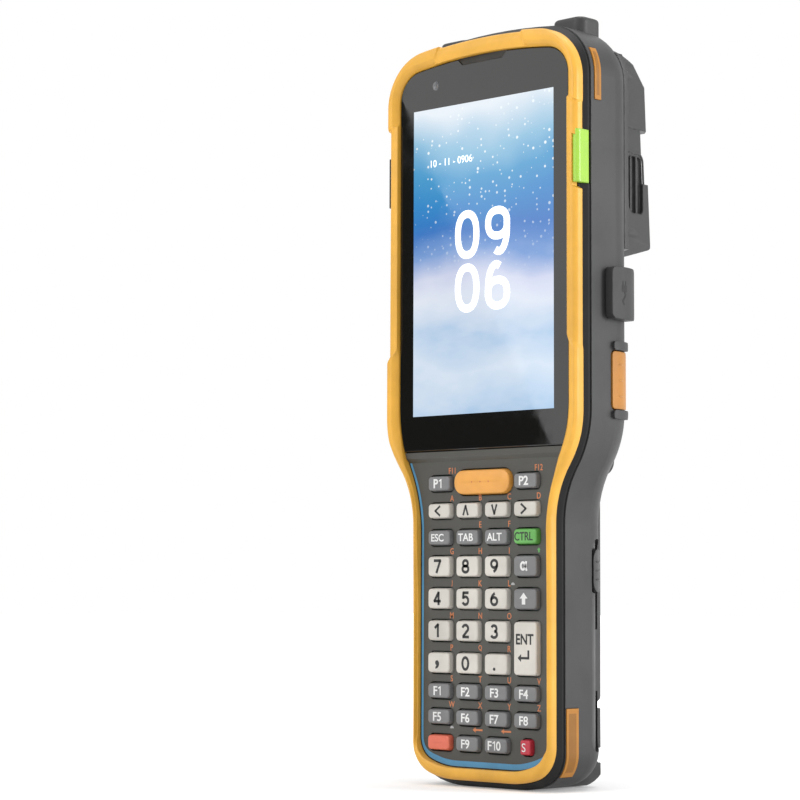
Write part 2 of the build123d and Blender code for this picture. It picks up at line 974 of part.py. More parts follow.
def finger_notch():
    """A dip beside the battery, where a finger lifts it."""
    low_x = battery_half - finger_under
    high_x = battery_half + finger_reach
    notch = block(low_x, high_x, case_back - finger_depth, far, finger_low, finger_high)
    return fillet(notch.edges().filter_by(Axis.Y), finger_corner)


def finger_step():
    """The shallow step across the back, deepest at its arc and fading out below."""
    region = make_face(
        Curve()
        + [
            ThreePointArc((-step_half, step_end_z), (0, step_middle_z), (step_half, step_end_z)),
            Line((step_half, step_end_z), (step_half, step_fade_z)),
            Line((step_half, step_fade_z), (-step_half, step_fade_z)),
            Line((-step_half, step_fade_z), (-step_half, step_end_z)),
        ]
    )
    wedge_points = [
        (case_back - step_depth, step_middle_z),
        (case_back + thread_gap, step_fade_z),
        (far, step_fade_z),
        (far, step_middle_z),
    ]
    return slab(region, 0, far) & side_cut(wedge_points)


def top_guards():
    """Two lugs on the upper end, which keep it off the ground in a fall."""
    root = case_top - top_guard_root
    face = Pos((guard_inner_x + guard_outer_x) / 2, (guard_front + guard_back) / 2)
    face = face * RectangleRounded(top_guard_length, guard_back - guard_front, top_guard_corner)
    guard = extrude(Plane.XY.offset(root) * face, amount=guard_top - root)
    guard = fillet(edges_at(guard, Axis.Z, guard_top), top_guard_edge)
    return [piece - grown_case(-wall) for piece in both_sides(guard)]


def socket_form(clearance, x_high):
    return side_slab(
        socket_y - socket_width / 2 - clearance,
        socket_y + socket_width / 2 + clearance,
        port_z - socket_height / 2 - clearance,
        port_z + socket_height / 2 + clearance,
        socket_corner + clearance,
        head_half_width - socket_depth - clearance,
        x_high,
    )


def dock_slot():
    return block(
        -dock_width / 2,
        dock_width / 2,
        dock_floor,
        far,
        dock_z - dock_height / 2,
        dock_z + dock_height / 2,
    )


def connectors():
    """The cable socket with its tongue, and the dock's row of contacts."""
    rim = head_half_width - socket_set_back
    mouth_floor = rim - mouth_depth
    mouth = socket_form(-socket_wall, far) & block(mouth_floor, far, 0, far, 0, case_top)
    socket = socket_form(0, rim) - mouth
    tongue_z = (port_z - tongue_height / 2, port_z + tongue_height / 2)
    tongue_y = (socket_y - tongue_half, socket_y + tongue_half)
    pieces = [socket + block(mouth_floor - trim_gap, rim - socket_set_back, *tongue_y, *tongue_z)]
    contact_z = (dock_z - contact_height / 2, dock_z + contact_height / 2)
    for index in range(contact_count):
        low = (index - (contact_count - 1) / 2) * contact_pitch - contact_width / 2
        contact = block(low, low + contact_width, dock_floor, dock_floor + contact_proud, *contact_z)
        pieces.append(contact)
    return pieces


def port_cover():
    low = port_z - port_height / 2
    high = port_z + port_height / 2
    zone = side_slab(port_front, port_back, low, high, port_corner, 0, far)
    return skin(port_proud, -cover_gap) & zone


def port_cover_strap():
    low = port_z - strap_width / 2
    high = port_z + strap_width / 2
    strap = skin(strap_thickness, 0) & block(strap_end, far, strap_start, far, low, high)
    strap = fillet(strap.edges().filter_by(Axis.Y).sort_by(Axis.X)[:2], strap_corner)
    return strap - screw_hole(strap_screw_x, port_z)


def strap_bar():
    face = Pos(0, bar_z) * RectangleRounded(2 * bar_half_length, bar_width, bar_corner)
    for side in (-1, 1):
        edge_z = bar_z + side * bar_width / 2
        waist_z = bar_z + side * bar_waist / 2
        relief = Polyline(
            (-bar_waist_half - bar_slant, edge_z + side),
            (-bar_waist_half - bar_slant, edge_z),
            (-bar_waist_half + bar_slant, waist_z),
            (bar_waist_half - bar_slant, waist_z),
            (bar_waist_half + bar_slant, edge_z),
            (bar_waist_half + bar_slant, edge_z + side),
            close=True,
        )
        face -= make_face(relief)
    bar_back = bar_seat + bar_thickness
    bar = slab(face, bar_seat, bar_back)
    bar = fillet(edges_at(bar, Axis.Y, bar_back), bar_edge)
    for x, z in bar_screws():
        bar -= back_rod(x, z, screw_radius + screw_recess, bar_back - bar_screw_sink, far)
        bar -= screw_hole(x, z)
    return bar


def bar_screws():
    """Places of the strap bar's two screws."""
    return [(-bar_screw_x, bar_z), (bar_screw_x, bar_z)]


def screw_hole(x, z):
    return back_rod(x, z, screw_shank_radius + thread_gap, case_back - screw_hole_depth, far)


def screw(x, z, seat, head_radius):
    head = back_rod(x, z, head_radius, seat, seat + screw_head_height)
    head = fillet(edges_at(head, Axis.Y, seat + screw_head_height), screw_edge)
    return head + back_rod(x, z, screw_shank_radius, seat - screw_length, seat)


def cover_screws():
    """Places of the four screws in the scan head's flange."""
    heights = (flange_screw_low, flange_screw_high)
    return [(side * flange_screw_x, z) for side in (-1, 1) for z in heights]


def fasteners():
    bar_screw_seat = bar_seat + bar_thickness - bar_screw_sink
    pieces = [screw(x, z, bar_screw_seat, screw_radius) for x, z in bar_screws()]
    pieces += [screw(x, z, flange_screw_seat, screw_radius) for x, z in cover_screws()]
    pieces.append(screw(strap_screw_x, port_z, case_back + strap_thickness, strap_screw_radius))
    return pieces


def brass_inserts():
    pieces = []
    for x in (-insert_x, insert_x):
        body = back_rod(x, insert_z, insert_radius, case_back - insert_length, case_back + insert_proud)
        pieces.append(body - back_rod(x, insert_z, insert_bore, 0, far))
    return pieces


def leaned(solid):
    """The scan head's lean, with its lower end further out from the case than its upper end."""
    middle = (scan_head_low + scan_head_high) / 2
    return Pos(0, case_back, middle) * Rot(scan_head_lean, 0, 0) * Pos(0, -case_back, -middle) * solid


def head_form(grow, edge):
    """The scan head: a rounded block cut to its plan and its profile, with edge chamfered at the back."""
    middle = (scan_head_low + scan_head_high) / 2
    height = scan_head_high - scan_head_low + 2 * grow
    width = 2 * (scan_head_half + grow)
    back = scan_head_back + grow
    form = rounded_slab(0, middle, width, height, scan_head_corner + grow, scan_head_front, back)
    draft = tan(radians(scan_head_draft))
    front_half = scan_head_half + grow
    edge_half = front_half - draft * (back - edge - case_back)
    plan = Polyline(
        (front_half, scan_head_front),
        (front_half, case_back),
        (edge_half, back - edge),
        (edge_half - edge, back),
        (edge - edge_half, back),
        (-edge_half, back - edge),
        (-front_half, case_back),
        (-front_half, scan_head_front),
        close=True,
    )
    low = scan_head_low - grow
    high = scan_head_high + grow
    profile = [
        (scan_head_front, low),
        (case_back, low),
        (back - edge, back_face_low - grow - 0.3 * edge),
        (back, back_face_low - grow + 0.7 * edge),
        (back, back_face_high + grow - 0.7 * edge),
        (back - edge, back_face_high + grow + 0.3 * edge),
        (top_slope_start, high),
        (scan_head_front, high),
    ]
    form &= extrude(Plane.XY.offset(low) * make_face(plan), amount=height)
    return leaned(form & side_cut(profile))


def head_bumpers():
    """Corner bumpers: the square-edged form at the four corners of the back face."""
    form = head_form(scan_bumper_proud, scan_bumper_edge)
    form -= band_core()
    upper = block(scan_bumper_reach, far, scan_bumper_front, far, scan_bumper_high, case_top + far)
    lower = block(scan_bumper_reach, far, scan_bumper_front, far, 0, scan_bumper_low)
    return both_sides(form & upper) + both_sides(form & lower)


def band_core():
    """What the bumpers leave free in the middle of the back."""
    middle = (back_face_low + back_face_high) / 2
    width = 2 * (scan_head_half - scan_bumper_band)
    height = back_face_high - back_face_low - scan_bumper_band
    return rounded_slab(0, middle, width, height, scan_bumper_band, scan_head_front, far)


def vent_form():
    """Side vent: a shallow pocket with two ribs left standing."""
    floor_x = scan_head_half - tan(radians(scan_head_draft)) * (vent_y - case_back) - vent_depth
    pocket = side_slab(
        vent_y - vent_width / 2,
        vent_y + vent_width / 2,
        vent_z - vent_height / 2,
        vent_z + vent_height / 2,
        vent_corner,
        floor_x,
        far,
    )
    for y in (vent_y - vent_width / 6, vent_y + vent_width / 6):
        pocket -= block(
            floor_x,
            floor_x + vent_depth - vent_rib_sink,
            y - vent_rib / 2,
            y + vent_rib / 2,
            vent_z - vent_height / 2,
            vent_z + vent_height / 2,
        )
    return pocket


def camera_pockets(clearance, y_front, y_back):
    """The two glass panes, for the lens and for the flash."""
    outer_low = camera_x - camera_width / 2 + camera_rim
    outer_high = camera_x + camera_width / 2 - camera_rim
    height = camera_height - 2 * camera_rim + 2 * clearance
    panes = []
    for low, high in ((lens_glass_low_x, outer_high), (outer_low, flash_glass_high_x)):
        width = high - low + 2 * clearance
        pane = (width, height, pane_corner)
        panes.append(leaned(rounded_slab((low + high) / 2, camera_z, *pane, y_front, y_back)))
    return panes


def scan_window_zone(clearance):
    half = scan_window_width / 2 + clearance
    reach = scan_window_depth / 2 + clearance
    return block(-half, half, scan_window_y - reach, scan_window_y + reach, engine_z, case_top + far)


def head_flange():
    """Flange over the case's corners, where the head's screws go."""
    low_x = scan_head_half - flange_lap
    high_x = scan_head_half + flange_reach
    zone = block(low_x, high_x, case_back - back_edge_radius, far, flange_low, flange_high)
    return both_sides(grown_case(flange_height) & zone)


def scan_head_cover():
    form = head_form(0, scan_head_chamfer)
    cover = head_form(0, scan_head_chamfer)
    for piece in head_bumpers() + head_flange():
        cover += piece
    cavity = head_form(-scan_head_wall, scan_head_chamfer)
    cover -= cavity & band(case_back - scan_head_sink, far, 0, case_top + far)
    cover -= case_form(-thread_gap, 0, case_back, back_edge_radius)
    back = scan_head_back
    label = (label_width, label_height, label_corner)
    cover -= leaned(rounded_slab(label_x, label_z, *label, back - label_depth, far))
    camera = (camera_width, camera_height, camera_corner)
    cover -= leaned(rounded_slab(camera_x, camera_z, *camera, back - camera_depth, far))
    pane_floor = back - camera_depth - window_thickness
    for pane in camera_pockets(trim_gap, pane_floor, back):
        cover -= pane
    for vent in both_sides(vent_form()):
        cover -= vent
    window_floor = Pos(0, 0, -window_thickness - trim_gap) * form
    cover -= (form & scan_window_zone(fit_gap)) - window_floor
    for x, z in cover_screws():
        cover -= back_rod(x, z, screw_radius + screw_recess, flange_screw_seat, far)
        cover -= screw_hole(x, z)
    return cover


def optic_windows():
    form = head_form(0, scan_head_chamfer)
    window = (form & scan_window_zone(0)) - Pos(0, 0, -window_thickness) * form
    back = scan_head_back - camera_depth
    return [window] + camera_pockets(0, back - window_thickness, back - trim_gap)


def scan_engine():
    size = (engine_width, engine_height, engine_corner)
    engine = rounded_slab(0, engine_z, *size, case_back, case_back + engine_depth)
    lens = Cylinder(engine_lens_radius, 2 * engine_lens_proud)
    return engine + Pos(0, case_back + engine_depth / 2, engine_z + engine_height / 2) * lens


foot_middle = (case_split + foot_back) / 2


def save(name, shape):
    """Write a piece, or a list of like pieces, with the origin at the middle of the foot."""
    solids = []
    for item in shape if isinstance(shape, list) else [shape]:
        solids += [Pos(0, -foot_middle, 0) * solid for solid in item.solids()]
    whole = solids[0] if len(solids) == 1 else Compound(children=solids)
    whole.label = name
    export_step(whole, f"parts/{name}.step")


save("front_bezel", front_bezel())
save("front_frame", front_frame())
save("touch_glass", touch_glass())
save("display_module", display_module())
save("keypad_fascia", keypad_fascia())
save("circuit_boards", circuit_boards())
save("rear_case", rear_case())
save("scan_head_cover", scan_head_cover())
save("optic_windows", optic_windows())
save("scan_engine", scan_engine())
save("battery_pack", battery_pack())
save("status_light", status_light())
save("accent_strips", accent_strips())
for name, shape in zip(("right", "left"), both_sides(scan_trigger())):
    save(f"scan_trigger_{name}", shape)
for name, shape in zip(("right", "left"), both_sides(battery_latch())):
    save(f"battery_latch_{name}", shape)
save("port_cover", port_cover())
save("port_cover_strap", port_cover_strap())
save("strap_bar", strap_bar())
save("connectors", connectors())
save("fasteners", fasteners() + brass_inserts())
for name, x, top, width, height in key_places():
    save(f"key_{name}", key_shape(x, top, width, height))
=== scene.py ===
import math
import re

import bmesh
import bpy
import numpy as np
from mathutils import Matrix, Vector


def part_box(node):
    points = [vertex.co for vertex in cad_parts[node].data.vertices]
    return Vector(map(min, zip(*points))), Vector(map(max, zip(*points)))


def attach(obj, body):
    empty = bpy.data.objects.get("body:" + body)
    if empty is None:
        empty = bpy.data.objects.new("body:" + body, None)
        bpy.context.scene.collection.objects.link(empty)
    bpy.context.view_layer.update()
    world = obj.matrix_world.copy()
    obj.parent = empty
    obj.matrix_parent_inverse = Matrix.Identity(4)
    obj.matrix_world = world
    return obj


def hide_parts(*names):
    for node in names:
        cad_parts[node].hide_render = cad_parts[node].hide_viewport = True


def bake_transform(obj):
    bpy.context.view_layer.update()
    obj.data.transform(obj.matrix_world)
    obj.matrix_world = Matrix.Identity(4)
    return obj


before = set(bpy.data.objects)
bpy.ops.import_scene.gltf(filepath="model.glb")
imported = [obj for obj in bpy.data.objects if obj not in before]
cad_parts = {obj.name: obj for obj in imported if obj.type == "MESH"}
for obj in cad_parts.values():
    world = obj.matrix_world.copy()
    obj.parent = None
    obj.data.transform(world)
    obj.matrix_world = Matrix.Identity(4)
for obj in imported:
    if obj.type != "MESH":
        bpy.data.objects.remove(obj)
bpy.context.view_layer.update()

# ---- front frame ----------------------------------------------------------
# The chassis that everything is screwed to: black glass-filled nylon, moulded
# with a fine spark texture. It shows as the dark line behind the amber bezel.
MM = 0.001
HOUSING = "terminal_body"
BLACK = (0.0, 0.0, 0.0, 1.0)
WHITE = (1.0, 1.0, 1.0, 1.0)
glass_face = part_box("touch_glass")[0].y


def srgb(red, green, blue):
    """A colour as it is seen, 0 to 255, in the linear values that shaders take."""
    seen = np.array([red, green, blue]) / 255
    linear = np.where(seen > 0.04045, ((seen + 0.055) / 1.055) ** 2.4, seen / 12.92)
    return (*linear.tolist(), 1.0)


def feed(tree, socket, value):
    """Sets an input, or links it from a socket or from the first live output of a node."""
    if isinstance(value, bpy.types.Node):
        value = next(output for output in value.outputs if output.enabled)
    if isinstance(value, bpy.types.NodeSocket):
        tree.links.new(value, socket)
    else:
        socket.default_value = value


def node(tree, kind, *first_values, **settings):
    """A shader node: values for its first inputs, and attributes or inputs by name, spaces as underscores."""
    made = tree.nodes.new("ShaderNode" + kind)
    for key, value in settings.items():
        if hasattr(made, key):
            setattr(made, key, value)
        else:
            feed(tree, made.inputs[key.replace("_", " ")], value)
    for socket, value in zip(made.inputs, first_values):
        feed(tree, socket, value)
    return made


def worked(tree, operation, *values):
    return node(tree, "Math", *values, operation=operation)


def mapped(tree, value, low, high, to_low=0.0, to_high=1.0):
    return node(tree, "MapRange", value, low, high, to_low, to_high)


def mixed(tree, factor, first, second):
    return node(tree, "Mix", data_type="RGBA", Factor=factor, A=first, B=second)


def shader_group(name, inputs, outputs):
    """An empty group of shader nodes with what it is given and what it gives: labels and their kinds."""
    tree = bpy.data.node_groups.new(name, "ShaderNodeTree")
    for side, sockets in (("INPUT", inputs), ("OUTPUT", outputs)):
        for label, kind in sockets.items():
            tree.interface.new_socket(label, in_out=side, socket_type="NodeSocket" + kind)
    return tree, tree.nodes.new("NodeGroupInput").outputs, tree.nodes.new("NodeGroupOutput").inputs


def moulding_group():
    """Moulded or cast surface: tone that drifts, rounded edges, edges rubbed by use, and a fine grain."""
    inputs = dict.fromkeys(("Colour", "Drift", "Rubbed"), "Color")
    inputs.update(dict.fromkeys(("Rubbing", "Sheen level", "Grain count", "Grain depth", "Edge"), "Float"))
    outputs = {"Colour": "Color", "Roughness": "Float", "Normal": "Vector"}
    tree, given, shown = shader_group("moulding", inputs, outputs)
    place = node(tree, "TexCoord").outputs["Object"]
    fine = node(tree, "TexNoise", Vector=place, Scale=given["Grain count"], Detail=2.0, Roughness=0.6)
    broad = node(tree, "TexNoise", Vector=place, Scale=42.0, Detail=4.0, Roughness=0.65)
    scuffs = node(tree, "TexNoise", Vector=place, Scale=520.0, Detail=5.0, Roughness=0.7)
    soft = node(tree, "Bevel", samples=4, Radius=given["Edge"])
    flat = node(tree, "NewGeometry").outputs["Normal"]
    turn = node(tree, "VectorMath", soft, flat, operation="DOT_PRODUCT").outputs["Value"]
    rubbed = worked(tree, "MULTIPLY", mapped(tree, turn, 0.995, 0.86), mapped(tree, scuffs, 0.42, 0.62))
    rubbed = worked(tree, "MULTIPLY", rubbed, given["Rubbing"])
    toned = mixed(tree, mapped(tree, broad, 0.36, 0.66), given["Colour"], given["Drift"])
    feed(tree, shown["Colour"], mixed(tree, rubbed, toned, given["Rubbed"]))
    spread = mapped(tree, broad, 0.3, 0.7, -0.07, 0.07)
    feed(tree, shown["Roughness"], worked(tree, "ADD", spread, given["Sheen level"]))
    bump = node(tree, "Bump", Strength=1.0, Height=fine, Distance=given["Grain depth"], Normal=soft)
    feed(tree, shown["Normal"], bump)
    return tree


moulding = moulding_group()


def set_shader(material, **values):
    """Sets or links inputs of a material's shader by name, spaces as underscores."""
    shader = material.node_tree.nodes["Principled BSDF"]
    for label, value in values.items():
        feed(material.node_tree, shader.inputs[label.replace("_", " ")], value)


def plain(name, **values):
    """A material without a pattern."""
    material = bpy.data.materials.new(name)
    material.use_nodes = True
    set_shader(material, **values)
    return material


# Shares and level of the tones that a moulded colour drifts to and is rubbed to.
drift_share = 0.9
rubbed_share = 0.28
rubbed_level = 235


def moulded(name, colour, roughness, grain=0.3, bump=0.02, edge=0.3, rub=0.5, **shader_values):
    """A moulded finish: colour as seen; grain, bump and edge rounding in millimetres; rubbing as a share."""
    darker = [drift_share * channel for channel in colour]
    lighter = [channel + rubbed_share * (rubbed_level - channel) for channel in colour]
    colours = {"Colour": srgb(*colour), "Drift": srgb(*darker), "Rubbed": srgb(*lighter)}
    grains = {"Grain_count": 1 / (grain * MM), "Grain_depth": bump * MM}
    material = plain(name, **shader_values)
    group = node(material.node_tree, "Group", node_tree=moulding, Rubbing=rub, Sheen_level=roughness,
                 Edge=edge * MM, **colours, **grains)
    made = group.outputs
    set_shader(material, Base_Color=made["Colour"], Roughness=made["Roughness"], Normal=made["Normal"])
    return material


def dress(name, material):
    """Gives a CAD node its finish."""
    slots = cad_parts[name].data.materials
    slots.clear()
    slots.append(material)


black_nylon = moulded("black_nylon", (24, 24, 25), 0.55, grain=0.25, rub=0.15, Specular_IOR_Level=0.25)
dress("front_frame", black_nylon)

# ---- display and circuit boards -------------------------------------------
# Held inside: the panel in its pressed tray, and two laminate boards with a
# green solder mask. They only show where a cover is off.
dress("display_module", moulded("panel_tray", (60, 62, 66), 0.35, grain=0.6, rub=0.2, Metallic=0.8))
dress("circuit_boards", moulded("solder_mask", (28, 74, 48), 0.38, grain=0.5, bump=0.03, Coat_Weight=0.3))

# ---- touch glass ----------------------------------------------------------
# One sheet of toughened glass with a printed black border. The lit panel is
# bonded behind it: the picture is a plain sky with haze and soft discs of light.
panel_half_width = 28.1
panel_low = 110.2
panel_high = 203.8
panel_middle = (panel_low + panel_high) / 2
print_proud = 0.03
print_sunk = 0.05
picture_glow = 0.96
merge_distance = 0.001


def sky_group():
    """The lit picture: bands of sky blue, haze from stretched noise, and discs from cell distance."""
    tree, _, shown = shader_group("sky_picture", {}, {"Colour": "Color", "Lit": "Float"})
    place = node(tree, "TexCoord").outputs["Object"]
    split = node(tree, "SeparateXYZ", place).outputs
    rise = mapped(tree, split["Z"], panel_low * MM, panel_high * MM)
    sway = node(tree, "TexNoise", Vector=place, Scale=19.0, Detail=3.0, Roughness=0.5)
    sky = node(tree, "ValToRGB", worked(tree, "ADD", rise, mapped(tree, sway, 0.3, 0.7, -0.07, 0.07)))
    bands = {
        0.0: (150, 190, 228), 0.07: (186, 212, 238), 0.17: (212, 227, 244), 0.27: (172, 202, 233),
        0.36: (220, 228, 243), 0.44: (206, 212, 237), 0.52: (106, 150, 212), 0.6: (50, 118, 196),
        0.7: (54, 138, 203), 0.8: (76, 158, 208), 0.88: (142, 192, 222), 0.95: (198, 219, 235),
        1.0: (228, 236, 244),
    }
    ramp = sky.color_ramp
    while len(ramp.elements) < len(bands):
        ramp.elements.new(0.5)
    for element, (position, colour) in zip(ramp.elements, bands.items()):
        element.position = position
        element.color = srgb(*colour)
    stretched = node(tree, "Mapping", place, Scale=(14.0, 14.0, 34.0))
    cloud = node(tree, "TexNoise", Vector=stretched, Scale=1.0, Detail=5.0, Roughness=0.55)
    low_part = mapped(tree, rise, 0.62, 0.4)
    cloud_share = worked(tree, "MULTIPLY", mapped(tree, cloud, 0.47, 0.72, 0.0, 0.75), low_part)
    clouded = mixed(tree, cloud_share, sky, srgb(240, 244, 250))
    cells = node(tree, "TexVoronoi", Vector=place, Scale=640.0, Randomness=1.0)
    chance = node(tree, "SeparateColor", cells.outputs["Color"])
    within = worked(tree, "SUBTRACT", mapped(tree, chance, 0.0, 1.0, -0.1, 0.36), cells.outputs["Distance"])
    high_part = mapped(tree, rise, 0.42, 0.8)
    disc_share = worked(tree, "MULTIPLY", mapped(tree, within, 0.0, 0.1), high_part)
    feed(tree, shown["Colour"], mixed(tree, disc_share, clouded, srgb(236, 246, 251)))
    in_width = worked(tree, "LESS_THAN", worked(tree, "ABSOLUTE", split["X"]), panel_half_width * MM)
    off_middle = worked(tree, "ABSOLUTE", worked(tree, "SUBTRACT", split["Z"], panel_middle * MM))
    in_height = worked(tree, "LESS_THAN", off_middle, (panel_high - panel_low) / 2 * MM)
    feed(tree, shown["Lit"], worked(tree, "MULTIPLY", in_width, in_height))
    return tree


def glass_material():
    """A black border all over, and the picture where the panel lights it."""
    material = moulded("printed_glass", (24, 24, 23), 0.05, grain=4.0, bump=0.0, edge=0.15, rub=0.0)
    picture = node(material.node_tree, "Group", node_tree=sky_group()).outputs
    shown = mixed(material.node_tree, picture["Lit"], BLACK, picture["Colour"])
    set_shader(material, Emission_Strength=picture_glow, Emission_Color=shown)
    return material


dress("touch_glass", glass_material())


def solid_mesh(points, faces, sharp_angle):
    """A mesh from points, given as x, depth behind the glass's face and z in millimetres, and faces.

    Doubled points are merged, faces turn outwards, and edges look smooth up to an angle in degrees.
    """
    mesh = bpy.data.meshes.new("solid")
    mesh.from_pydata((points * MM + (0, glass_face, 0)).tolist(), [], faces)
    work = bmesh.new()
    work.from_mesh(mesh)
    bmesh.ops.remove_doubles(work, verts=work.verts, dist=merge_distance * MM)
    bmesh.ops.recalc_face_normals(work, faces=work.faces)
    work.to_mesh(mesh)
    work.free()
    mesh.shade_smooth()
    mesh.set_sharp_from_angle(angle=math.radians(sharp_angle))
    return mesh


def grid_quads(index):
    """Faces between neighbours in a grid of point numbers."""
    quads = [index[:-1, :-1], index[:-1, 1:], index[1:, 1:], index[1:, :-1]]
    return np.stack(quads, axis=-1).reshape(-1, 4).tolist()


def grid_mesh(*grids, around=True, sharp_angle=40):
    """A mesh from grids of points, rows and then columns; around joins each row's end to its start."""
    faces = []
    count = 0
    for grid in grids:
        index = count + np.arange(grid.shape[0] * grid.shape[1]).reshape(grid.shape[:2])
        count += index.size
        if around:
            index = np.concatenate([index, index[:, :1]], axis=1)
        faces += grid_quads(index)
    return solid_mesh(np.concatenate([grid.reshape(-1, 3) for grid in grids]), faces, sharp_angle)


def looped(rows):
    """Rows that end with the first one again, so that the surface closes on itself."""
    return np.concatenate([rows, rows[:1]])


def capped(rows):
    """Rows closed at both ends, each by a row that is drawn together in the middle of the end row."""
    ends = [np.tile(rows[end].mean(axis=0), (rows.shape[1], 1)) for end in (0, -1)]
    return np.concatenate([[ends[0]], rows, [ends[1]]])


def linked(name, data):
    """A new object in the scene."""
    made = bpy.data.objects.new(name, data)
    bpy.context.scene.collection.objects.link(made)
    return made


def dressed(name, mesh, material):
    """A new mesh object with one material."""
    mesh.name = name
    mesh.materials.clear()
    mesh.materials.append(material)
    return linked(name, mesh)


def piece(name, mesh, material, body):
    """Puts a finished mesh into the scene as a named piece that rides on a body."""
    made = dressed(name, mesh, material)
    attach(made, body)
    return made


def word_mark(text, height, narrowing, weight):
    """A word as a thin solid: its points, x and z about its middle and y as 0 or 1, and its faces."""
    curve = bpy.data.curves.new("word", "FONT")
    curve.body = text
    curve.offset = weight
    curve.extrude = 0.5
    curve.resolution_u = 5
    holder = linked("word", curve)
    solid = holder.evaluated_get(bpy.context.evaluated_depsgraph_get())
    mesh = bpy.data.meshes.new_from_object(solid)
    points = np.array([vertex.co[:] for vertex in mesh.vertices])
    faces = [list(polygon.vertices) for polygon in mesh.polygons]
    bpy.data.objects.remove(holder)
    bpy.data.curves.remove(curve)
    bpy.data.meshes.remove(mesh)
    low = points.min(axis=0)
    high = points.max(axis=0)
    scale = height / (high[1] - low[1])
    centred = (points - (low + high) / 2) * scale
    return np.stack([centred[:, 0] * narrowing, 0.5 - points[:, 2], centred[:, 1]], axis=1), faces


def printed(name, marks, front, back, material, body, slot, shaped=np.asarray):
    """Printed or moulded marks between two depths, joined in one piece; each mark is points, faces, x, z.

    Shaped is a function that lays the flat marks, in millimetres, on the surface that carries them.
    """
    all_points = []
    all_faces = []
    count = 0
    for points, faces, x, z in marks:
        depth = front + points[:, 1] * (back - front)
        all_points.append(shaped(np.stack([points[:, 0] + x, depth, points[:, 2] + z], axis=1)))
        all_faces += [[index + count for index in face] for face in faces]
        count += len(points)
    return piece(name, solid_mesh(np.concatenate(all_points), all_faces, 30), material, body)


def ink(name, colour, roughness=0.42, glow=0.0):
    """Printed ink, or light let through the print where glow is above nought."""
    material = moulded(name, colour, roughness, grain=0.15, bump=0.004, edge=0.02, rub=0.15)
    if glow:
        lit = material.node_tree.nodes["Group"].outputs["Colour"]
        set_shader(material, Emission_Color=lit, Emission_Strength=glow)
    return material


def at_depth(outline, y):
    """Points of x and z laid at a depth, or at a depth for each point or row."""
    return np.insert(outline, 1, y, axis=-1)


def on_oval(angle, across=1.0, up=1.0, middle=(0, 0)):
    """Points on an oval at angles in radians."""
    return np.stack([middle[0] + across * np.cos(angle), middle[1] + up * np.sin(angle)], axis=-1)


def stroke_mark(path, width):
    """A thin solid stroke: the path, in x and z, widened by half the width along its normals on each side.

    A path that ends where it starts becomes a ring.
    """
    path = np.asarray(path, float)
    ring = np.allclose(path[0], path[-1])
    if ring:
        path = path[:-1]
        ahead = np.roll(path, -1, axis=0) - np.roll(path, 1, axis=0)
    else:
        ahead = np.gradient(path, axis=0)
    ahead = ahead / np.hypot(*ahead.T)[:, None]
    aside = np.stack([-ahead[:, 1], ahead[:, 0]], axis=1) * width / 2
    right = path - aside
    left = path + aside
    index = np.arange(4 * len(path)).reshape(4, -1)
    ends = [] if ring else [index[:, 0].tolist(), index[::-1, -1].tolist()]
    if ring:
        index = np.concatenate([index, index[:, :1]], axis=1)
    points = [at_depth(right, 1.0), at_depth(right, 0.0), at_depth(left, 0.0), at_depth(left, 1.0)]
    return np.concatenate(points), grid_quads(looped(index)) + ends


digit_half_width = 3.75
digit_half_height = 6.15
digit_stroke = 2.35
bowl_half_height = 3.8
oval_power = 0.86


def clock_digit(digit):
    """Strokes: nought is a tall oval; nine is a round bowl with a tail, and six is nine turned half round.

    The ovals are a little squared: cosine and sine are raised to a power below one, signs kept.
    """
    circle = on_oval(np.linspace(0, 2 * np.pi, 65))
    squared = np.sign(circle) * np.abs(circle) ** oval_power
    if digit == "0":
        return [squared * (digit_half_width, digit_half_height)]
    bowl = squared * (digit_half_width, bowl_half_height) + (0, digit_half_height - bowl_half_height)
    fall = np.linspace(0.25, -2.0, 24)
    tail = np.stack([digit_half_width * np.cos(fall * 0.9), 0.6 + 6.75 * np.sin(fall)], axis=1)
    tail = np.concatenate([[(digit_half_width, 3.4)], tail])
    turn = 1 if digit == "9" else -1
    return [turn * bowl, turn * tail]


clock_marks = []
for digits, digits_z in (("09", 163.9), ("06", 147.8)):
    for digit, digit_x in zip(digits, (-5.9, 6.3)):
        for path in clock_digit(digit):
            clock_marks.append((*stroke_mark(path, digit_stroke), digit_x, digits_z))
day_marks = [(*word_mark("10 - 11 - 0906", 2.2, 0.98, 0.0), -12.4, 186.9)]
shown_white = ink("lit_digits", (250, 252, 255), 0.3, glow=0.9)
for name, marks in (("clock_digits", clock_marks), ("day_digits", day_marks)):
    printed(name, marks, -print_proud, print_sunk, shown_white, HOUSING, "cover_glass")

# ---- front camera and earpiece --------------------------------------------
# The small camera sits behind a clear spot in the border. The earpiece is a
# woven wire mesh, black-coated, pressed into the notch of the glass.
camera_spot = (-18.9, 210.7)
notch_low_half = 7.9
notch_high_half = 10.3
notch_low = 215.6
notch_high = 217.75
wire_pitch = 0.56


def turned(profile, x, z, sides=48, lobes=0.0, lobe_count=6):
    """Rings about an axis along Y: each row of the profile is radius, depth and how much it is lobed.

    At an angle the radius is the row's own, times one plus lobes, the row's share and the lobes' cosine.
    """
    angle = np.arange(sides) * 2 * np.pi / sides
    profile = np.array([(*row, 0.0)[:3] for row in profile], float)
    radius = profile[:, 0:1] * (1 + lobes * profile[:, 2:3] * np.cos(lobe_count * angle)[None])
    return at_depth(on_oval(angle, radius, radius, (x, z)), profile[:, 1:2])


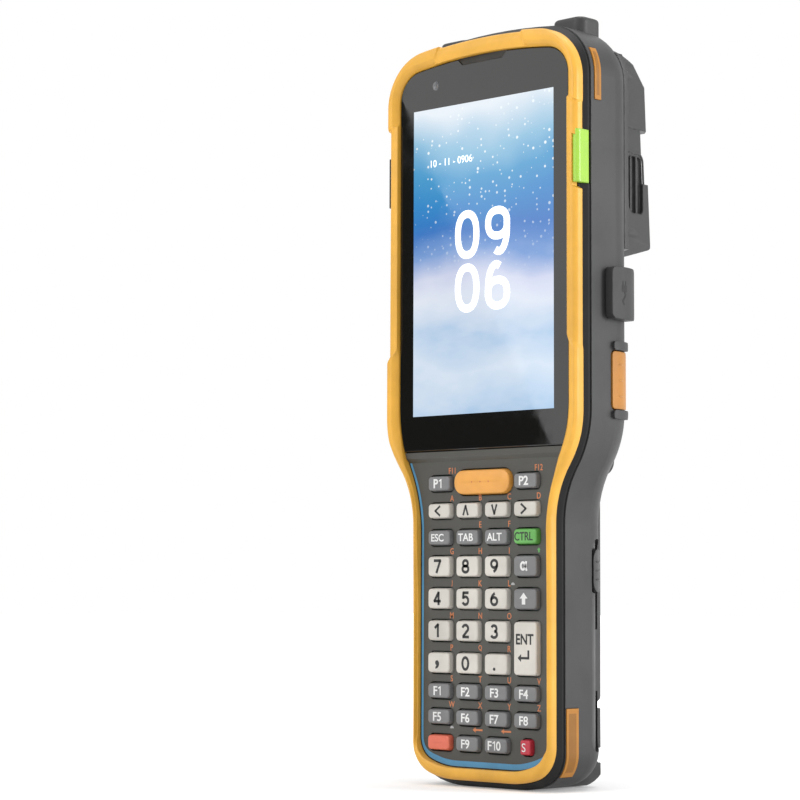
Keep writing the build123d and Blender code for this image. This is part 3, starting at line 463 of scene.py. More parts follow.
def woven_grids():
    """Wire cloth over the notch, its back and its rim: the face's depth is a weave of two sines."""
    across, up = np.meshgrid(np.linspace(-1, 1, 177), np.linspace(0, 1, 25))
    x = across * (notch_low_half + (notch_high_half - notch_low_half) * up)
    z = notch_low + (notch_high - notch_low) * up
    weave = np.sin(2 * np.pi * x / wire_pitch) * np.sin(2 * np.pi * z / wire_pitch)
    face = np.stack([x, 0.4 + 0.12 * weave, z], axis=-1)
    back = np.stack([x, np.full_like(x, 0.6), z], axis=-1)
    rim = []
    for layer in (face, back):
        rim.append(np.concatenate([layer[0], layer[1:, -1], layer[-1, -2::-1], layer[-2::-1, 0]]))
    return face, back, np.array(rim)


spot_profile = [(0, 0.1), (1.35, 0.1), (1.35, -0.02), (0.75, -0.03), (0.7, 0.0), (0, -0.02)]
spot_finish = moulded("camera_spot", (74, 76, 80), 0.12, bump=0.002, rub=0.0, Coat_Weight=1.0)
piece("front_camera", grid_mesh(turned(spot_profile, *camera_spot)), spot_finish, HOUSING)
cloth_finish = moulded("coated_wire", (62, 60, 56), 0.5, grain=0.2, bump=0.01, edge=0.03, Metallic=0.3)
piece("earpiece_mesh", grid_mesh(*woven_grids(), around=False), cloth_finish, HOUSING)

# ---- keypad fascia --------------------------------------------------------
# A dark satin plate that the keys stand through, with a raised lip under the
# glass. A blue line is printed round its edge, wider along the foot.
# Outlines: half widths of head and grip, low and high end, where the sides start
# and stop to widen, and the radii of foot corner, top corner, foot bow and top arch.
case_shape = (38.1, 28.0, 0.0, 224.8, 77.0, 110.0, 10.0, 16.0, 34.0, 200.0)
bezel_shape = (37.6, 27.5, 2.0, 222.8, 77.0, 110.0, 10.0, 16.0, 32.0, 198.0)
opening_shape = (33.95, 25.7, 5.6, 217.9, 75.0, 113.0, 7.0, 9.0, 28.4, 193.1)
inset_signs = np.array([-1, -1, 1, -1, 0, 0, -1, -1, -1, -1])
foot_flat = 11.0
fascia_depth = 1.2
line_insets = (0.35, 1.15, 2.0)
line_high = 97.0


def arc_between(start, end, centre, count):
    """Points on the shorter arc from start to end about centre, the last one left out."""
    first = np.arctan2(start[1] - centre[1], start[0] - centre[0])
    turn = np.arctan2(end[1] - centre[1], end[0] - centre[0]) - first
    turn = (turn + np.pi) % (2 * np.pi) - np.pi
    angle = first + turn * np.arange(count) / count
    radius = np.hypot(start[0] - centre[0], start[1] - centre[1])
    return on_oval(angle, radius, radius, centre)


def line_between(start, end, count):
    share = (np.arange(count) / count)[:, None]
    return np.array(start) * (1 - share) + np.array(end) * share


def outline_loop(shape, inset=0.0):
    """An outline drawn in by an inset: a loop of x and z from the foot's middle up the right side and back.

    Straight foot, bow, corner arc, grip, two equal arcs that widen to the head, corner arc, arched top;
    the left side is the right one mirrored. Each stretch has the same count of points at every inset.
    """
    head, grip, low, high, lower, upper, low_corner, high_corner, bow, arch = shape + inset * inset_signs
    foot_x = grip - low_corner
    foot_z = low + bow - np.sqrt((bow - low_corner) ** 2 - (foot_x - foot_flat) ** 2)
    bow_middle = np.array([foot_flat, low + bow])
    corner = np.array([foot_x, foot_z])
    foot_joint = corner + (corner - bow_middle) * low_corner / (bow - low_corner)
    top_x = head - high_corner
    top_z = high - arch + np.sqrt((arch - high_corner) ** 2 - top_x**2)
    arch_middle = np.array([0, high - arch])
    top_corner = np.array([top_x, top_z])
    top_joint = top_corner + (top_corner - arch_middle) * high_corner / (arch - high_corner)
    widening = head - grip
    bend_radius = ((upper - lower) ** 2 + widening**2) / (4 * widening)
    middle = np.array([grip + widening / 2, (lower + upper) / 2])
    right = np.concatenate([
        line_between((0, low), (foot_flat, low), 20),
        arc_between((foot_flat, low), foot_joint, bow_middle, 24),
        arc_between(foot_joint, (grip, foot_z), corner, 28),
        line_between((grip, foot_z), (grip, lower), 120),
        arc_between((grip, lower), middle, (grip + bend_radius, lower), 36),
        arc_between(middle, (head, upper), (head - bend_radius, upper), 36),
        line_between((head, upper), (head, top_z), 200),
        arc_between((head, top_z), top_joint, top_corner, 44),
        arc_between(top_joint, (0, high), arch_middle, 56),
        [(0, high)],
    ])
    return np.concatenate([right, right[-2:0:-1] * (-1, 1)])


def blue_line():
    """A ribbon between two insets of the opening, up to the lip; its inner edge draws in along the foot."""
    outer, inner, foot_inner = [outline_loop(opening_shape, inset) for inset in line_insets]
    foot_share = np.clip((16 - outer[:, 1:2]) / 9, 0, 1) * np.clip((26 - np.abs(outer[:, 0:1])) / 4, 0, 1)
    inner = inner + (foot_inner - inner) * foot_share
    outer, inner = [np.roll(edge, len(edge) // 2, axis=0) for edge in (outer, inner)]
    kept = outer[:, 1] < line_high
    rows = []
    for edge, y in ((outer, 0.03), (outer, -0.04), (inner, -0.04), (inner, 0.03)):
        rows.append(at_depth(edge[kept], fascia_depth + y))
    return np.stack(rows, axis=1)


dress("keypad_fascia", moulded("fascia_satin", (68, 67, 61), 0.4, grain=0.35, bump=0.008, rub=0.25))
piece("blue_line", grid_mesh(blue_line()), ink("blue_print", (80, 150, 195)), HOUSING)

# ---- keys -----------------------------------------------------------------
# Hard caps of satin resin in six colours, each on its own rubber dome, with
# slanted sides and rounded edges. The legends are printed and sealed.
cap_flange = 0.5
cap_top = -0.3
cap_root = 2.3
cap_draft = 0.28
cap_edge = 0.55
legend_aside = 0.4
scan_dot_radius = 0.26
scan_dot_pitch = 3.3
# Height and stroke width of the legends that are drawn by strokes.
digit_size = (4.3, 0.82)
arrow_size = (3.9, 0.62)
alpha_size = (3.3, 0.66)
coloured_keys = {"scan": "amber", "orange": "orange", "red": "red", "control": "green"}
grey_keys = "program_1 program_2 escape tab alt alpha shift f1 f2 f3 f4 f5 f6 f7 f8 f9 f10".split()
legend_inks = {"scan": "orange", "control": "dark"}
cap_finishes = {}
for name, roughness, colour in (
    ("pale", 0.42, (216, 211, 202)),
    ("grey", 0.42, (124, 124, 125)),
    ("amber", 0.4, (240, 170, 78)),
    ("orange", 0.42, (236, 118, 92)),
    ("red", 0.42, (202, 50, 70)),
    ("green", 0.42, (104, 180, 88)),
):
    cap_finishes[name] = moulded(f"{name}_cap", colour, roughness, bump=0.006, edge=0.25, rub=0.3)
inks = {}
for name, colour in (
    ("dark", (32, 32, 32)),
    ("pale", (240, 240, 238)),
    ("orange", (214, 126, 74)),
    ("green", (96, 176, 92)),
    ("grey", (176, 176, 176)),
):
    inks[name] = ink(f"{name}_ink", colour)


def box_mm(name):
    """The low and high corners of a CAD node's box in millimetres, depth counted from the glass's face."""
    return [(np.array(corner) - (0, glass_face, 0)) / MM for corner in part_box(name)]


def rounded_loop(half_x, half_y, radius, count):
    """Rows of points round rounded rectangles; half widths, half heights and radii are columns of values."""
    angle = np.linspace(0, np.pi / 2, count)[None]
    quarters = []
    for quarter, (side_x, side_y) in enumerate(((1, 1), (-1, 1), (-1, -1), (1, -1))):
        corner = (side_x * np.maximum(half_x - radius, 0), side_y * np.maximum(half_y - radius, 0))
        quarters.append(on_oval(angle + quarter * np.pi / 2, radius, radius, corner))
    return np.concatenate(quarters, axis=1)


def cap_rings(x, z, width, height, corner, crown):
    """Rings of a key cap: rounded rectangles that step in from the root over the rounded edge to the middle.

    The side leans in by a draft, the edge turns on a quarter circle, and the top rises by the crown times
    one minus the square of the way that is left to the middle.
    """
    turn = np.linspace(0, np.pi / 2, 7)[1:]
    share = np.linspace(0, 1, 9)[1:]
    innermost = min(width, height) / 2 - 0.01
    flat_start = cap_draft + cap_edge
    insets = [innermost, 0.0, cap_draft, *(flat_start - cap_edge * np.cos(turn))]
    insets = np.array([*insets, *(flat_start + (innermost - flat_start) * share)])[:, None]
    depths = [cap_root, cap_root, cap_top + cap_edge, *(cap_top + cap_edge * (1 - np.sin(turn)))]
    depths = np.array([*depths, *(cap_top - crown * (1 - (1 - share) ** 2))])[:, None]
    flat = rounded_loop(width / 2 - insets, height / 2 - insets, np.maximum(corner - insets, 0.02), 8)
    return at_depth(flat + (x, z), depths)


def slab_mark(outline):
    """A thin solid from an outline of x and z."""
    outline = np.asarray(outline, float)
    count = len(outline)
    faces = [list(range(count)), list(range(2 * count - 1, count - 1, -1))]
    faces += [[i, i + count, (i + 1) % count + count, (i + 1) % count] for i in range(count)]
    return np.concatenate([at_depth(outline, 0.0), at_depth(outline, 1.0)]), faces


arrows = {
    "up": [(0, 1.25), (-1.05, 0.1), (-0.45, 0.1), (-0.45, -1.1), (0.45, -1.1), (0.45, 0.1), (1.05, 0.1)],
    "left": [(-1.5, 0), (-0.6, 0.6), (-0.6, 0.2), (1.5, 0.2), (1.5, -0.2), (-0.6, -0.2), (-0.6, -0.6)],
    "return": [
        (-1.3, -0.3), (-0.55, -0.95), (-0.55, -0.5), (1.25, -0.5), (1.25, 1.0), (0.85, 1.0), (0.85, -0.1),
        (-0.55, -0.1), (-0.55, 0.35),
    ],
}


def arrow_mark(kind, scale):
    return slab_mark(np.array(arrows[kind]) * scale)


def dot_mark(radius, sides=16):
    return slab_mark(on_oval(np.arange(sides) * 2 * np.pi / sides, radius, radius))


def one_outline(height, stroke):
    """The digit one: an upright stem with a slanted flag at its top left."""
    half = height / 2
    edge = stroke / 2
    flag_x = -0.3 * height
    flag_z = half - 0.17 * height
    stem = [(edge, -half), (edge, half), (-0.4 * edge, half)]
    flag = [(flag_x, flag_z), (flag_x, flag_z - 0.95 * stroke), (-edge, half - 0.1 * height - 0.85 * stroke)]
    return stem + flag + [(-edge, -half)]


def legend_word(text, height, narrowing, weight, x, z):
    """A word about a place: runs of the plain font and flagged ones, side by side with one gap."""
    gap = 0.14 * height
    parts = []
    width = -gap
    for run in re.findall("1|[^1]+", text):
        if run == "1":
            points, faces = slab_mark(one_outline(height, (0.1 + 1.7 * weight) * height))
        else:
            points, faces = word_mark(run, height, narrowing, weight)
        start = width + gap - points[:, 0].min()
        width = start + points[:, 0].max()
        parts.append((points, faces, start))
    return [(points, faces, x + start - width / 2, z) for points, faces, start in parts]


def bow(middle, across, up, first, last):
    """Points on an oval's arc between two angles in degrees."""
    return on_oval(np.radians(np.linspace(first, last, 28)), across, up, middle)


def oval(middle, across, up):
    return bow(middle, across, up, 0, 360)


six = [oval((0, -0.38), 1, 0.62), bow((0.95, -0.3), 1.95, 1.3, 180, 112)]
two_bow = np.concatenate([bow((0, 0.42), 0.95, 0.58, 168, -28), [(-0.8, -0.94)]])
strokes = {
    "0": [oval((0, 0), 1, 1)],
    "1": [[(-0.7, 0.5), (0.25, 1)], [(0.25, 1), (0.25, -1)]],
    "2": [two_bow, [(-0.8, -1), (1, -1)]],
    "3": [bow((-0.05, 0.48), 0.85, 0.52, 158, -80), bow((-0.05, -0.46), 1, 0.54, 85, -158)],
    "4": [[(0.45, 1), (0.45, -1)], [(0.4, 1), (-1, -0.45)], [(-1, -0.45), (1, -0.45)]],
    "5": [[(-0.65, 1), (0.85, 1)], [(-0.65, 1), (-0.8, 0.1)], bow((-0.02, -0.34), 0.98, 0.66, 140, -155)],
    "6": six,
    "7": [[(-1, 1), (1, 1)], [(1, 0.96), (-0.25, -1)]],
    "8": [oval((0, 0.5), 0.82, 0.5), oval((0, -0.46), 1, 0.54)],
    "9": [-1 * path for path in six],
    "left": [[(0.85, 0.8), (-0.85, 0)], [(-0.85, 0), (0.85, -0.8)]],
    "up": [[(-0.85, -0.8), (0, 0.8)], [(0, 0.8), (0.85, -0.8)]],
    "alpha": [oval((-0.25, 0), 0.9, 0.8), [(1.15, 0.9), (0.72, -0.1)], [(0.72, -0.1), (1.3, -0.9)]],
}
for opposite, key in (("right", "left"), ("down", "up")):
    strokes[opposite] = [-1 * np.array(path) for path in strokes[key]]


def stroke_legend(key, height, width, x, z):
    """A digit or an arrow from its strokes; the ends of straight strokes reach a little over the corners."""
    marks = []
    half = np.array([0.27 * height, (height - width) / 2])
    for path in strokes[key]:
        path = np.array(path, float) * half
        if len(path) == 2:
            ahead = (path[1] - path[0]) / np.hypot(*(path[1] - path[0]))
            path = path + np.stack([-ahead, ahead]) * 0.3 * width
        marks.append((*stroke_mark(path, width), x, z))
    return marks


# Each word has its height and the weight of its strokes.
words = {f"f{number}": (f"F{number}", 2.7, 0.018) for number in range(1, 11)}
words |= {"program_1": ("P1", 2.75, 0.026), "program_2": ("P2", 2.75, 0.026), "escape": ("ESC", 2.3, 0.018)}
words |= {"tab": ("TAB", 2.3, 0.018), "alt": ("ALT", 2.3, 0.018), "control": ("CTRL", 2.5, 0.014)}
words |= {"red": ("S", 2.5, 0.0), "comma": (",", 2.6, 0.03), "point": (".", 0.95, 0.03)}
lowered = {"comma": 0.6, "point": 1.4}


def key_legend(key, x, z):
    """A key's marks about its middle: dots, arrows, digits drawn by strokes, or a word."""
    aside = x - legend_aside
    if key == "scan":
        return [(*dot_mark(scan_dot_radius), x + scan_dot_pitch * step, z) for step in (-1, 0, 1)]
    if key == "enter":
        return_arrow = (*arrow_mark("return", 1.75), aside, z - 2.2)
        return [*legend_word("ENT", 3.1, 0.86, 0.026, x, z + 2.7), return_arrow]
    if key == "shift":
        return [(*arrow_mark("up", 1.45), aside, z)]
    if key == "alpha":
        return stroke_legend(key, *alpha_size, aside, z)
    if key.isdigit():
        return stroke_legend(key, *digit_size, aside, z)
    if key in strokes:
        return stroke_legend(key, *arrow_size, aside, z)
    if key in words:
        text, height, weight = words[key]
        narrowing = 0.86 if key == "control" else 1.02
        return legend_word(text, height, narrowing, weight, aside, z - lowered.get(key, 0))
    return []


for key_node in sorted(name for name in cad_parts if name.startswith("key_")):
    key = key_node[len("key_"):]
    low, high = box_mm(key_node)
    cap_x, _, cap_z = (low + high) / 2
    width, _, height = high - low - 2 * cap_flange
    corner = {"scan": height / 2 - 0.3, "red": 0.9}.get(key, 1.45)
    crown = 0.45 if key == "scan" else 0.06
    colour = coloured_keys.get(key, "grey" if key in grey_keys else "pale")
    cap_mesh = grid_mesh(cap_rings(cap_x, cap_z, width, height, corner, crown))
    cap = piece(f"{key_node}_cap", cap_mesh, cap_finishes[colour], key_node)
    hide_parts(key_node)
    marks = key_legend(key, cap_x, cap_z)
    legend_ink = inks[legend_inks.get(key, "dark" if colour == "pale" else "pale")]
    face = cap_top - crown
    if marks:
        printed(f"{key_node}_legend", marks, face - 0.025, face + 0.1, legend_ink, key_node, f"{colour}_key")

lettered = "left up down right tab alt 7 8 9 4 5 6 1 2 3 comma 0 point f1 f2 f3 f4 f5 f6 f7 f8"
small_letters = dict(zip(lettered.split(), "ABCDEFGHIJKLMNOPQRSTUVWXYZ"))
small_letters.update(program_1="F11", program_2="F12")
letter_marks = []
for key, letter in small_letters.items():
    corner = box_mm("key_" + key)[1] - cap_flange
    letter_marks.append((*word_mark(letter, 1.8, 0.86, 0.008), corner[0] - 0.5, corner[2] + 1.35))
alpha_corner = box_mm("key_alpha")[1]
lock_marks = [(*arrow_mark("up", 0.6), alpha_corner[0] - 1.0, alpha_corner[2] + 0.9)]
fan = slab_mark(on_oval(np.linspace(0, np.pi, 13), 0.75, 0.75))
fan_marks = [(*fan, 11.3, 59.4), (*fan, -12.9, 17.0)]
back_marks = [(*arrow_mark("left", 1.3), x, 16.9) for x in (-2.6, 8.6)]
plate_print = (fascia_depth - print_proud, fascia_depth + print_sunk)
for name, marks, colour in (
    ("plate_letters", letter_marks, "orange"),
    ("lock_mark", lock_marks, "green"),
    ("fan_marks", fan_marks, "grey"),
    ("back_arrows", back_marks, "orange"),
):
    printed(name, marks, *plate_print, inks[colour], HOUSING, "fascia_plastic")

# ---- front bezel ----------------------------------------------------------
# Amber over-moulded frame of tough resin. It is plain along the screen and
# the grip, and stands up in bevelled bumpers at the four corners of the head.
bumper_proud = 0.3
skirt_back = 1.6
light_low, light_high = box_mm("status_light")
light_gap = 0.12
left_lens_outer = 38.0
left_lens_inner = 36.9
top_bumper = (199.0, 17.0)
side_bumper = (99.0, 129.0)


def step_up(value, start, length):
    """Nought before start, one after start plus length, smooth in between."""
    share = np.clip((value - start) / length, 0, 1)
    return share * share * (3 - 2 * share)


def bezel_rows():
    """Two outlines, inner and outer, with a section carried round between them.

    Each section point has a share of the width, an outward offset and a depth, blended from the plain
    section to the bumper's by a mask of height and side. The plain section is a bead, highest towards
    its outer side, and lower where it is narrow. At the two light pipes the width is cut short.
    """
    inner = outline_loop(opening_shape)
    inside = (inner[:, 1] > light_low[2] - light_gap) & (inner[:, 1] < light_high[2] + light_gap)
    inside = inside.tolist()
    order = []
    cut = []
    for index, flag in enumerate(inside):
        starts = flag and not inside[index - 1]
        ends = flag and not inside[(index + 1) % len(inside)]
        flags = [False] * starts + [flag] + [False] * ends
        order += [index] * len(flags)
        cut += flags
    inner = inner[order]
    outer = outline_loop(bezel_shape)[order]
    z = (inner[:, 1] + outer[:, 1]) / 2
    x = np.abs(inner[:, 0] + outer[:, 0]) / 2
    over_top = step_up(z, top_bumper[0], 0.9) * step_up(x, top_bumper[1], 0.9)
    over_side = step_up(z, side_bumper[0] - 6, 12.0) * (1 - step_up(z, side_bumper[1] - 0.9, 1.8))
    mask = np.maximum(over_top, over_side)
    width = np.hypot(*(outer - inner).T)
    narrow = np.clip(3.0 - width, 0, 1)
    inner_high = -1.25 + 1.05 * narrow
    ridge = -1.5 + 0.3 * narrow
    rounding = np.minimum(2.2, 0.7 * width)
    slope_in = np.minimum(2.0, 0.5 * width)
    inner_back = (np.minimum(0.6, 0.3 * width), 1.2)
    plain_points = [(0, 1.1), (0, inner_high + 0.3), (0.05, inner_high + 0.1), (0.22, inner_high)]
    plain_points.append((0.5 * (width - rounding) + 0.11, 0.4 * inner_high + 0.6 * ridge))
    for turn in np.linspace(0, np.pi / 2, 6):
        plain_points.append((width - rounding * (1 - np.sin(turn)), ridge + 2.0 * (1 - np.cos(turn))))
    plain_points += [(width, skirt_back), (width - 0.8, skirt_back), inner_back]
    bumper_points = [(0, 1.1), (0, -0.15), (0.08, -0.35), (0.95 * slope_in, -1.93), (slope_in + 0.1, -2.0)]
    from_edge = [(0.8, -2.0), (0.66, -1.96), (0.1, -1.2), (0, -1.0), (0, 0.3), (0, 1.0), (0, skirt_back)]
    for back, y in [*from_edge, (1.1, skirt_back)]:
        bumper_points.append((width + bumper_proud - back, y))
    bumper_points.append(inner_back)
    away = (outer - inner) / width[:, None]
    light_face = np.where(inner[:, 0] > 0, light_low[0], left_lens_inner) - light_gap
    room = (light_face - np.abs(inner[:, 0])) / np.maximum(np.abs(away[:, 0]), 0.2)
    limit = np.where(cut, room, np.inf)
    rows = []
    for (plain_out, plain_y), (bumper_out, bumper_y) in zip(plain_points, bumper_points):
        reach = np.minimum(plain_out + (bumper_out - plain_out) * mask, limit)
        rows.append(at_depth(inner + away * reach[:, None], plain_y + (bumper_y - plain_y) * mask))
    return np.array(rows)


amber_resin = moulded("amber_resin", (240, 179, 62), 0.46, bump=0.008, rub=0.35)
bezel_mesh = grid_mesh(looped(bezel_rows()), sharp_angle=32)
bezel = piece("bezel_frame", bezel_mesh, amber_resin, HOUSING)
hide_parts("front_bezel")

# ---- status light ---------------------------------------------------------
# A light pipe of tinted clear resin that wraps the bezel's edge, lit green by
# a small lamp inside. The pipe at the left edge is dark.
green_pipe = moulded("light_pipe", (158, 204, 72), 0.3, grain=0.5, bump=0.004, edge=0.6, rub=0.0)
set_shader(green_pipe, Emission_Color=srgb(170, 220, 70), Emission_Strength=0.14)
dress("status_light", green_pipe)
lens_front = -0.75
lens_back = 4.8
lens_edge = 0.35


def left_lens_rows(low, high):
    """A bar along z: its section is a rounded rectangle in x and depth, drawn in and closed at both ends."""
    middle = np.array([-(left_lens_outer + left_lens_inner), lens_front + lens_back]) / 2
    half = np.array([left_lens_outer - left_lens_inner, lens_back - lens_front]) / 2
    insets = np.array([half.max(), lens_edge, 0.6 * lens_edge, 0, 0, 0.6 * lens_edge, lens_edge, half.max()])
    spans = np.maximum(half - insets[:, None], 0)
    corners = np.minimum(lens_edge, spans.min(axis=1))[:, None]
    flat = middle + rounded_loop(spans[:, :1], spans[:, 1:], corners, 6)
    turn_in = 0.4 * lens_edge
    heights = np.array([low, low, low, low + turn_in, high - turn_in, high, high, high])[:, None]
    return np.insert(flat, 2, heights, axis=-1)


lens_mesh = grid_mesh(left_lens_rows(light_low[2], light_high[2]))
lens_finish = moulded("dark_light_pipe", (26, 28, 24), 0.16, grain=0.5, bump=0.003, rub=0.1)
piece("left_light_pipe", lens_mesh, lens_finish, HOUSING)

# ---- rear case ------------------------------------------------------------
# The shell that the hand holds: black glass-filled resin, moulded with a fine
# spark texture. Four amber strips are let into its sides, darker within as painted shade.
groove_face = -0.28
groove_root = -0.12
groove_spans = [(5.4, 22.9, 6.3, 9.5), (201.0, 214.4, 7.3, 8.5)]
dress("rear_case", moulded("case_black", (47, 47, 48), 0.5, grain=0.22, edge=0.35, rub=0.35))
# The strips' amber is the bezel's amber made darker: painted shade of the side faces.
dress("accent_strips", moulded("amber_inlay_painted_shade", (184, 120, 16), 0.42, bump=0.006, edge=0.25, rub=0.2))


def strip_groove(side, low, high, front, back):
    """Painted shade within an accent strip: a darker thin ribbon along the case's outline."""
    outer = outline_loop(case_shape, groove_face)
    inner = outline_loop(case_shape, groove_root)
    kept = (outer[:, 0] > 0) & (outer[:, 1] > low) & (outer[:, 1] < high)
    corners = ((outer, front), (outer, back), (inner, back), (inner, front))
    rows = np.stack([at_depth(edge[kept], y) for edge, y in corners], axis=1)
    return capped(rows * (side, 1, 1))


# The darker amber here is painted shade of the strip's channel.
groove_painted_shade = moulded("groove_painted_shade", (152, 98, 4), 0.5, bump=0.01, edge=0.1, rub=0.1)
grooves = [strip_groove(side, *span) for side in (1, -1) for span in groove_spans]
piece("accent_groove_painted_shade", grid_mesh(*grooves), groove_painted_shade, HOUSING)

# ---- scan triggers --------------------------------------------------------
# Amber buttons on both sides, hard resin on a switch. Three low ribs on each
# keep the finger in place.
head_turn_x = 27.1
grip_turn_x = 17.0
turn_depth = 16.0
case_turn = 11.0


def rib_rows(side, z, turn_x, proud, degrees, half, rise):
    """A low rib that follows the case's rounded back edge: an arc about the turn, with a half-round section.

    At its ends the rib sinks: height and width shrink with the square root of one minus the way squared.
    """
    way = np.linspace(-1, 1, 17)
    swell = np.sqrt(np.maximum(1 - way**2, 0.0))[:, None]
    angle = np.radians((degrees[0] + degrees[1]) / 2 + (degrees[1] - degrees[0]) / 2 * way)[:, None]
    around = np.linspace(0, 2 * np.pi, 12, endpoint=False)[None]
    reach = case_turn + proud + rise * swell * np.cos(around)
    x = side * (turn_x + reach * np.cos(angle))
    y = turn_depth + reach * np.sin(angle)
    return np.stack([x, y, z + half * swell * np.sin(around)], axis=-1)


def ribbed_pair(cad_stem, stem, material, slot, pitch, **rib):
    """Dresses the buttons of both sides and lays three ribs on each."""
    for side, sign in (("right", 1), ("left", -1)):
        cad_name = f"{cad_stem}_{side}"
        dress(cad_name, material)
        low, high = box_mm(cad_name)
        ribs = [rib_rows(sign, (low[2] + high[2]) / 2 + step * pitch, **rib) for step in (-1, 0, 1)]
        piece(f"{stem}_ribs_{side}", grid_mesh(*ribs), material, f"{stem}_{side}")


# The trigger amber is the bezel's amber made darker: painted shade of the side faces.
trigger_amber = moulded("trigger_amber", (192, 128, 44), 0.42, bump=0.008, edge=0.4)
trigger_rib = {"turn_x": head_turn_x, "proud": 0.35, "degrees": (4, 17), "half": 0.32, "rise": 0.3}
ribbed_pair("scan_trigger", "trigger", trigger_amber, "trigger_amber", 4.6, **trigger_rib)

# ---- battery and its latches ----------------------------------------------
# The pack is a black resin tub with a crowned back, held by a latch on each
# side. The latches have three small ribs for the finger.
dress("battery_pack", moulded("battery_black", (52, 52, 53), 0.46, grain=0.22, bump=0.025, edge=0.6))
latch_black = moulded("latch_black", (44, 44, 45), 0.4, bump=0.01, edge=0.5)
latch_rib = {"turn_x": grip_turn_x, "proud": 0.25, "degrees": (14, 40), "half": 0.4, "rise": 0.4}
ribbed_pair("battery_latch", "latch", latch_black, "latch_plastic", 2.6, **latch_rib)

# ---- scan head ------------------------------------------------------------
# The cover over the scan engine and the camera: the case's resin, with soft
# corner bumpers, closed by coated panes. It leans a little towards the back.
head_black = moulded("head_black", (50, 50, 51), 0.48, grain=0.22, edge=0.9)
dress("scan_head_cover", head_black)
dress("optic_windows", moulded("coated_pane", (16, 17, 24), 0.06, grain=3.0, bump=0.0, edge=0.1, rub=0.0))
dress("scan_engine", moulded("engine_black", (52, 54, 58), 0.35, grain=0.4, bump=0.01, Metallic=0.6))
head_lean = math.radians(3.0)
lean_y = 27.0
lean_z = 188.4
lens_place = (17.3, 200.8)
pane_depth = 43.0
head_back = 44.0
vent_half = (4.5, 9.25)
vent_middle = (36.0, 179.2)
vent_corner = 2.6
rim_half_width = 0.38
rim_proud = 0.3
head_side_half = 30.0
head_draft = math.radians(6.0)


def leaned(points):
    """Points turned about the head's level axis by its lean, as the whole head is."""
    moved = np.array(points, float)
    y = moved[..., 1] - lean_y
    z = moved[..., 2] - lean_z
    moved[..., 1] = lean_y + y * math.cos(head_lean) - z * math.sin(head_lean)
    moved[..., 2] = lean_z + y * math.sin(head_lean) + z * math.cos(head_lean)
    return moved


def lens_rows(profile):
    """A round part of the camera: its profile's depths are counted outwards from the pane."""
    return leaned(turned([(radius, pane_depth + proud) for radius, proud in profile], *lens_place))


def vent_rim(side):
    """A low round rim about the vent: a rounded rectangle in y and z carries a small round section."""
    section = np.linspace(0, 2 * np.pi, 12, endpoint=False)[:, None]
    swell = rim_half_width * np.cos(section)
    loop = rounded_loop(vent_half[0] + swell, vent_half[1] + swell, vent_corner + swell, 9) + vent_middle
    x = head_side_half - math.tan(head_draft) * (loop[..., 0] - lean_y) + rim_proud * np.sin(section)
    return looped(leaned(np.insert(loop, 0, side * x, axis=-1)))


ring = lens_rows([(0.95, -0.2), (0.95, 0), (1.35, -0.06), (1.4, 0.02), (2.0, 0.05), (2.15, 0), (2.2, -0.2)])
dome = lens_rows([(0, 0.1), (0.3, 0.09), (0.6, 0.05), (0.85, -0.03), (0.95, -0.08), (0.95, -0.2), (0, -0.2)])
ring_finish = moulded("lens_ring", (70, 82, 118), 0.2, bump=0.002, edge=0.05, rub=0.1, Metallic=0.5)
dome_finish = moulded("lens_glass", (18, 22, 38), 0.04, 0.5, bump=0.0, edge=0.03, rub=0.0, Coat_Weight=1.0)
piece("camera_ring", grid_mesh(looped(ring)), ring_finish, HOUSING)
piece("camera_lens", grid_mesh(dome), dome_finish, HOUSING)
flash_outline = 0.75 * np.array([(-1, -1), (1, -1), (1, 1), (-1, 1)]) * (1, 1.15)
flash_marks = [(*slab_mark(flash_outline), 6.5, 200.4)]
flash_finish = ink("flash_phosphor", (246, 214, 116), 0.3, glow=0.25)
flash_face, flash_floor = pane_depth + 0.06, pane_depth - 0.2
printed("camera_flash", flash_marks, flash_face, flash_floor, flash_finish, HOUSING, "optic_glass", leaned)
# The sound holes are not cut: flat near-black discs on the head are painted shade of the holes.
hole_marks = [(*dot_mark(0.4), x, z) for x, z in ((-14.1, 201.4), (-20.4, 203.5), (-20.4, 199.9))]
hole_painted_shade = ink("hole_painted_shade", (10, 10, 10))
hole_face, hole_floor = head_back + 0.015, head_back - 0.2
printed("sound_hole_painted_shade", hole_marks, hole_face, hole_floor, hole_painted_shade, HOUSING, "head_plastic", leaned)
piece("vent_rims", grid_mesh(vent_rim(-1), vent_rim(1)), head_black, HOUSING)

# The label: a paper sticker in the recess, with plain blocks, bars and digits.
label_middle = (1.15, 0, 178.95)
label_half = (12.5, 9.25)
label_floor = 43.0
bar_unit = 0.0085


def on_label(points):
    """Marks as they are read from behind, laid in the label's recess: left and right change sides."""
    return leaned(np.asarray(points) * (-1, 1, 1) + label_middle)


def block(left, right, low, high):
    """A rectangle given in shares of the label's width and height, from its lower left corner."""
    x = (np.array([left, right, right, left]) * 2 - 1) * label_half[0]
    z = (np.array([low, low, high, high]) * 2 - 1) * label_half[1]
    return (*slab_mark(np.stack([x, z], axis=1)), 0, 0)


def label_word(text, height, narrowing, weight, across, up):
    """A word about a place given in shares of the label's width and height."""
    x = (2 * across - 1) * label_half[0]
    return (*word_mark(text, height, narrowing, weight), x, (2 * up - 1) * label_half[1])


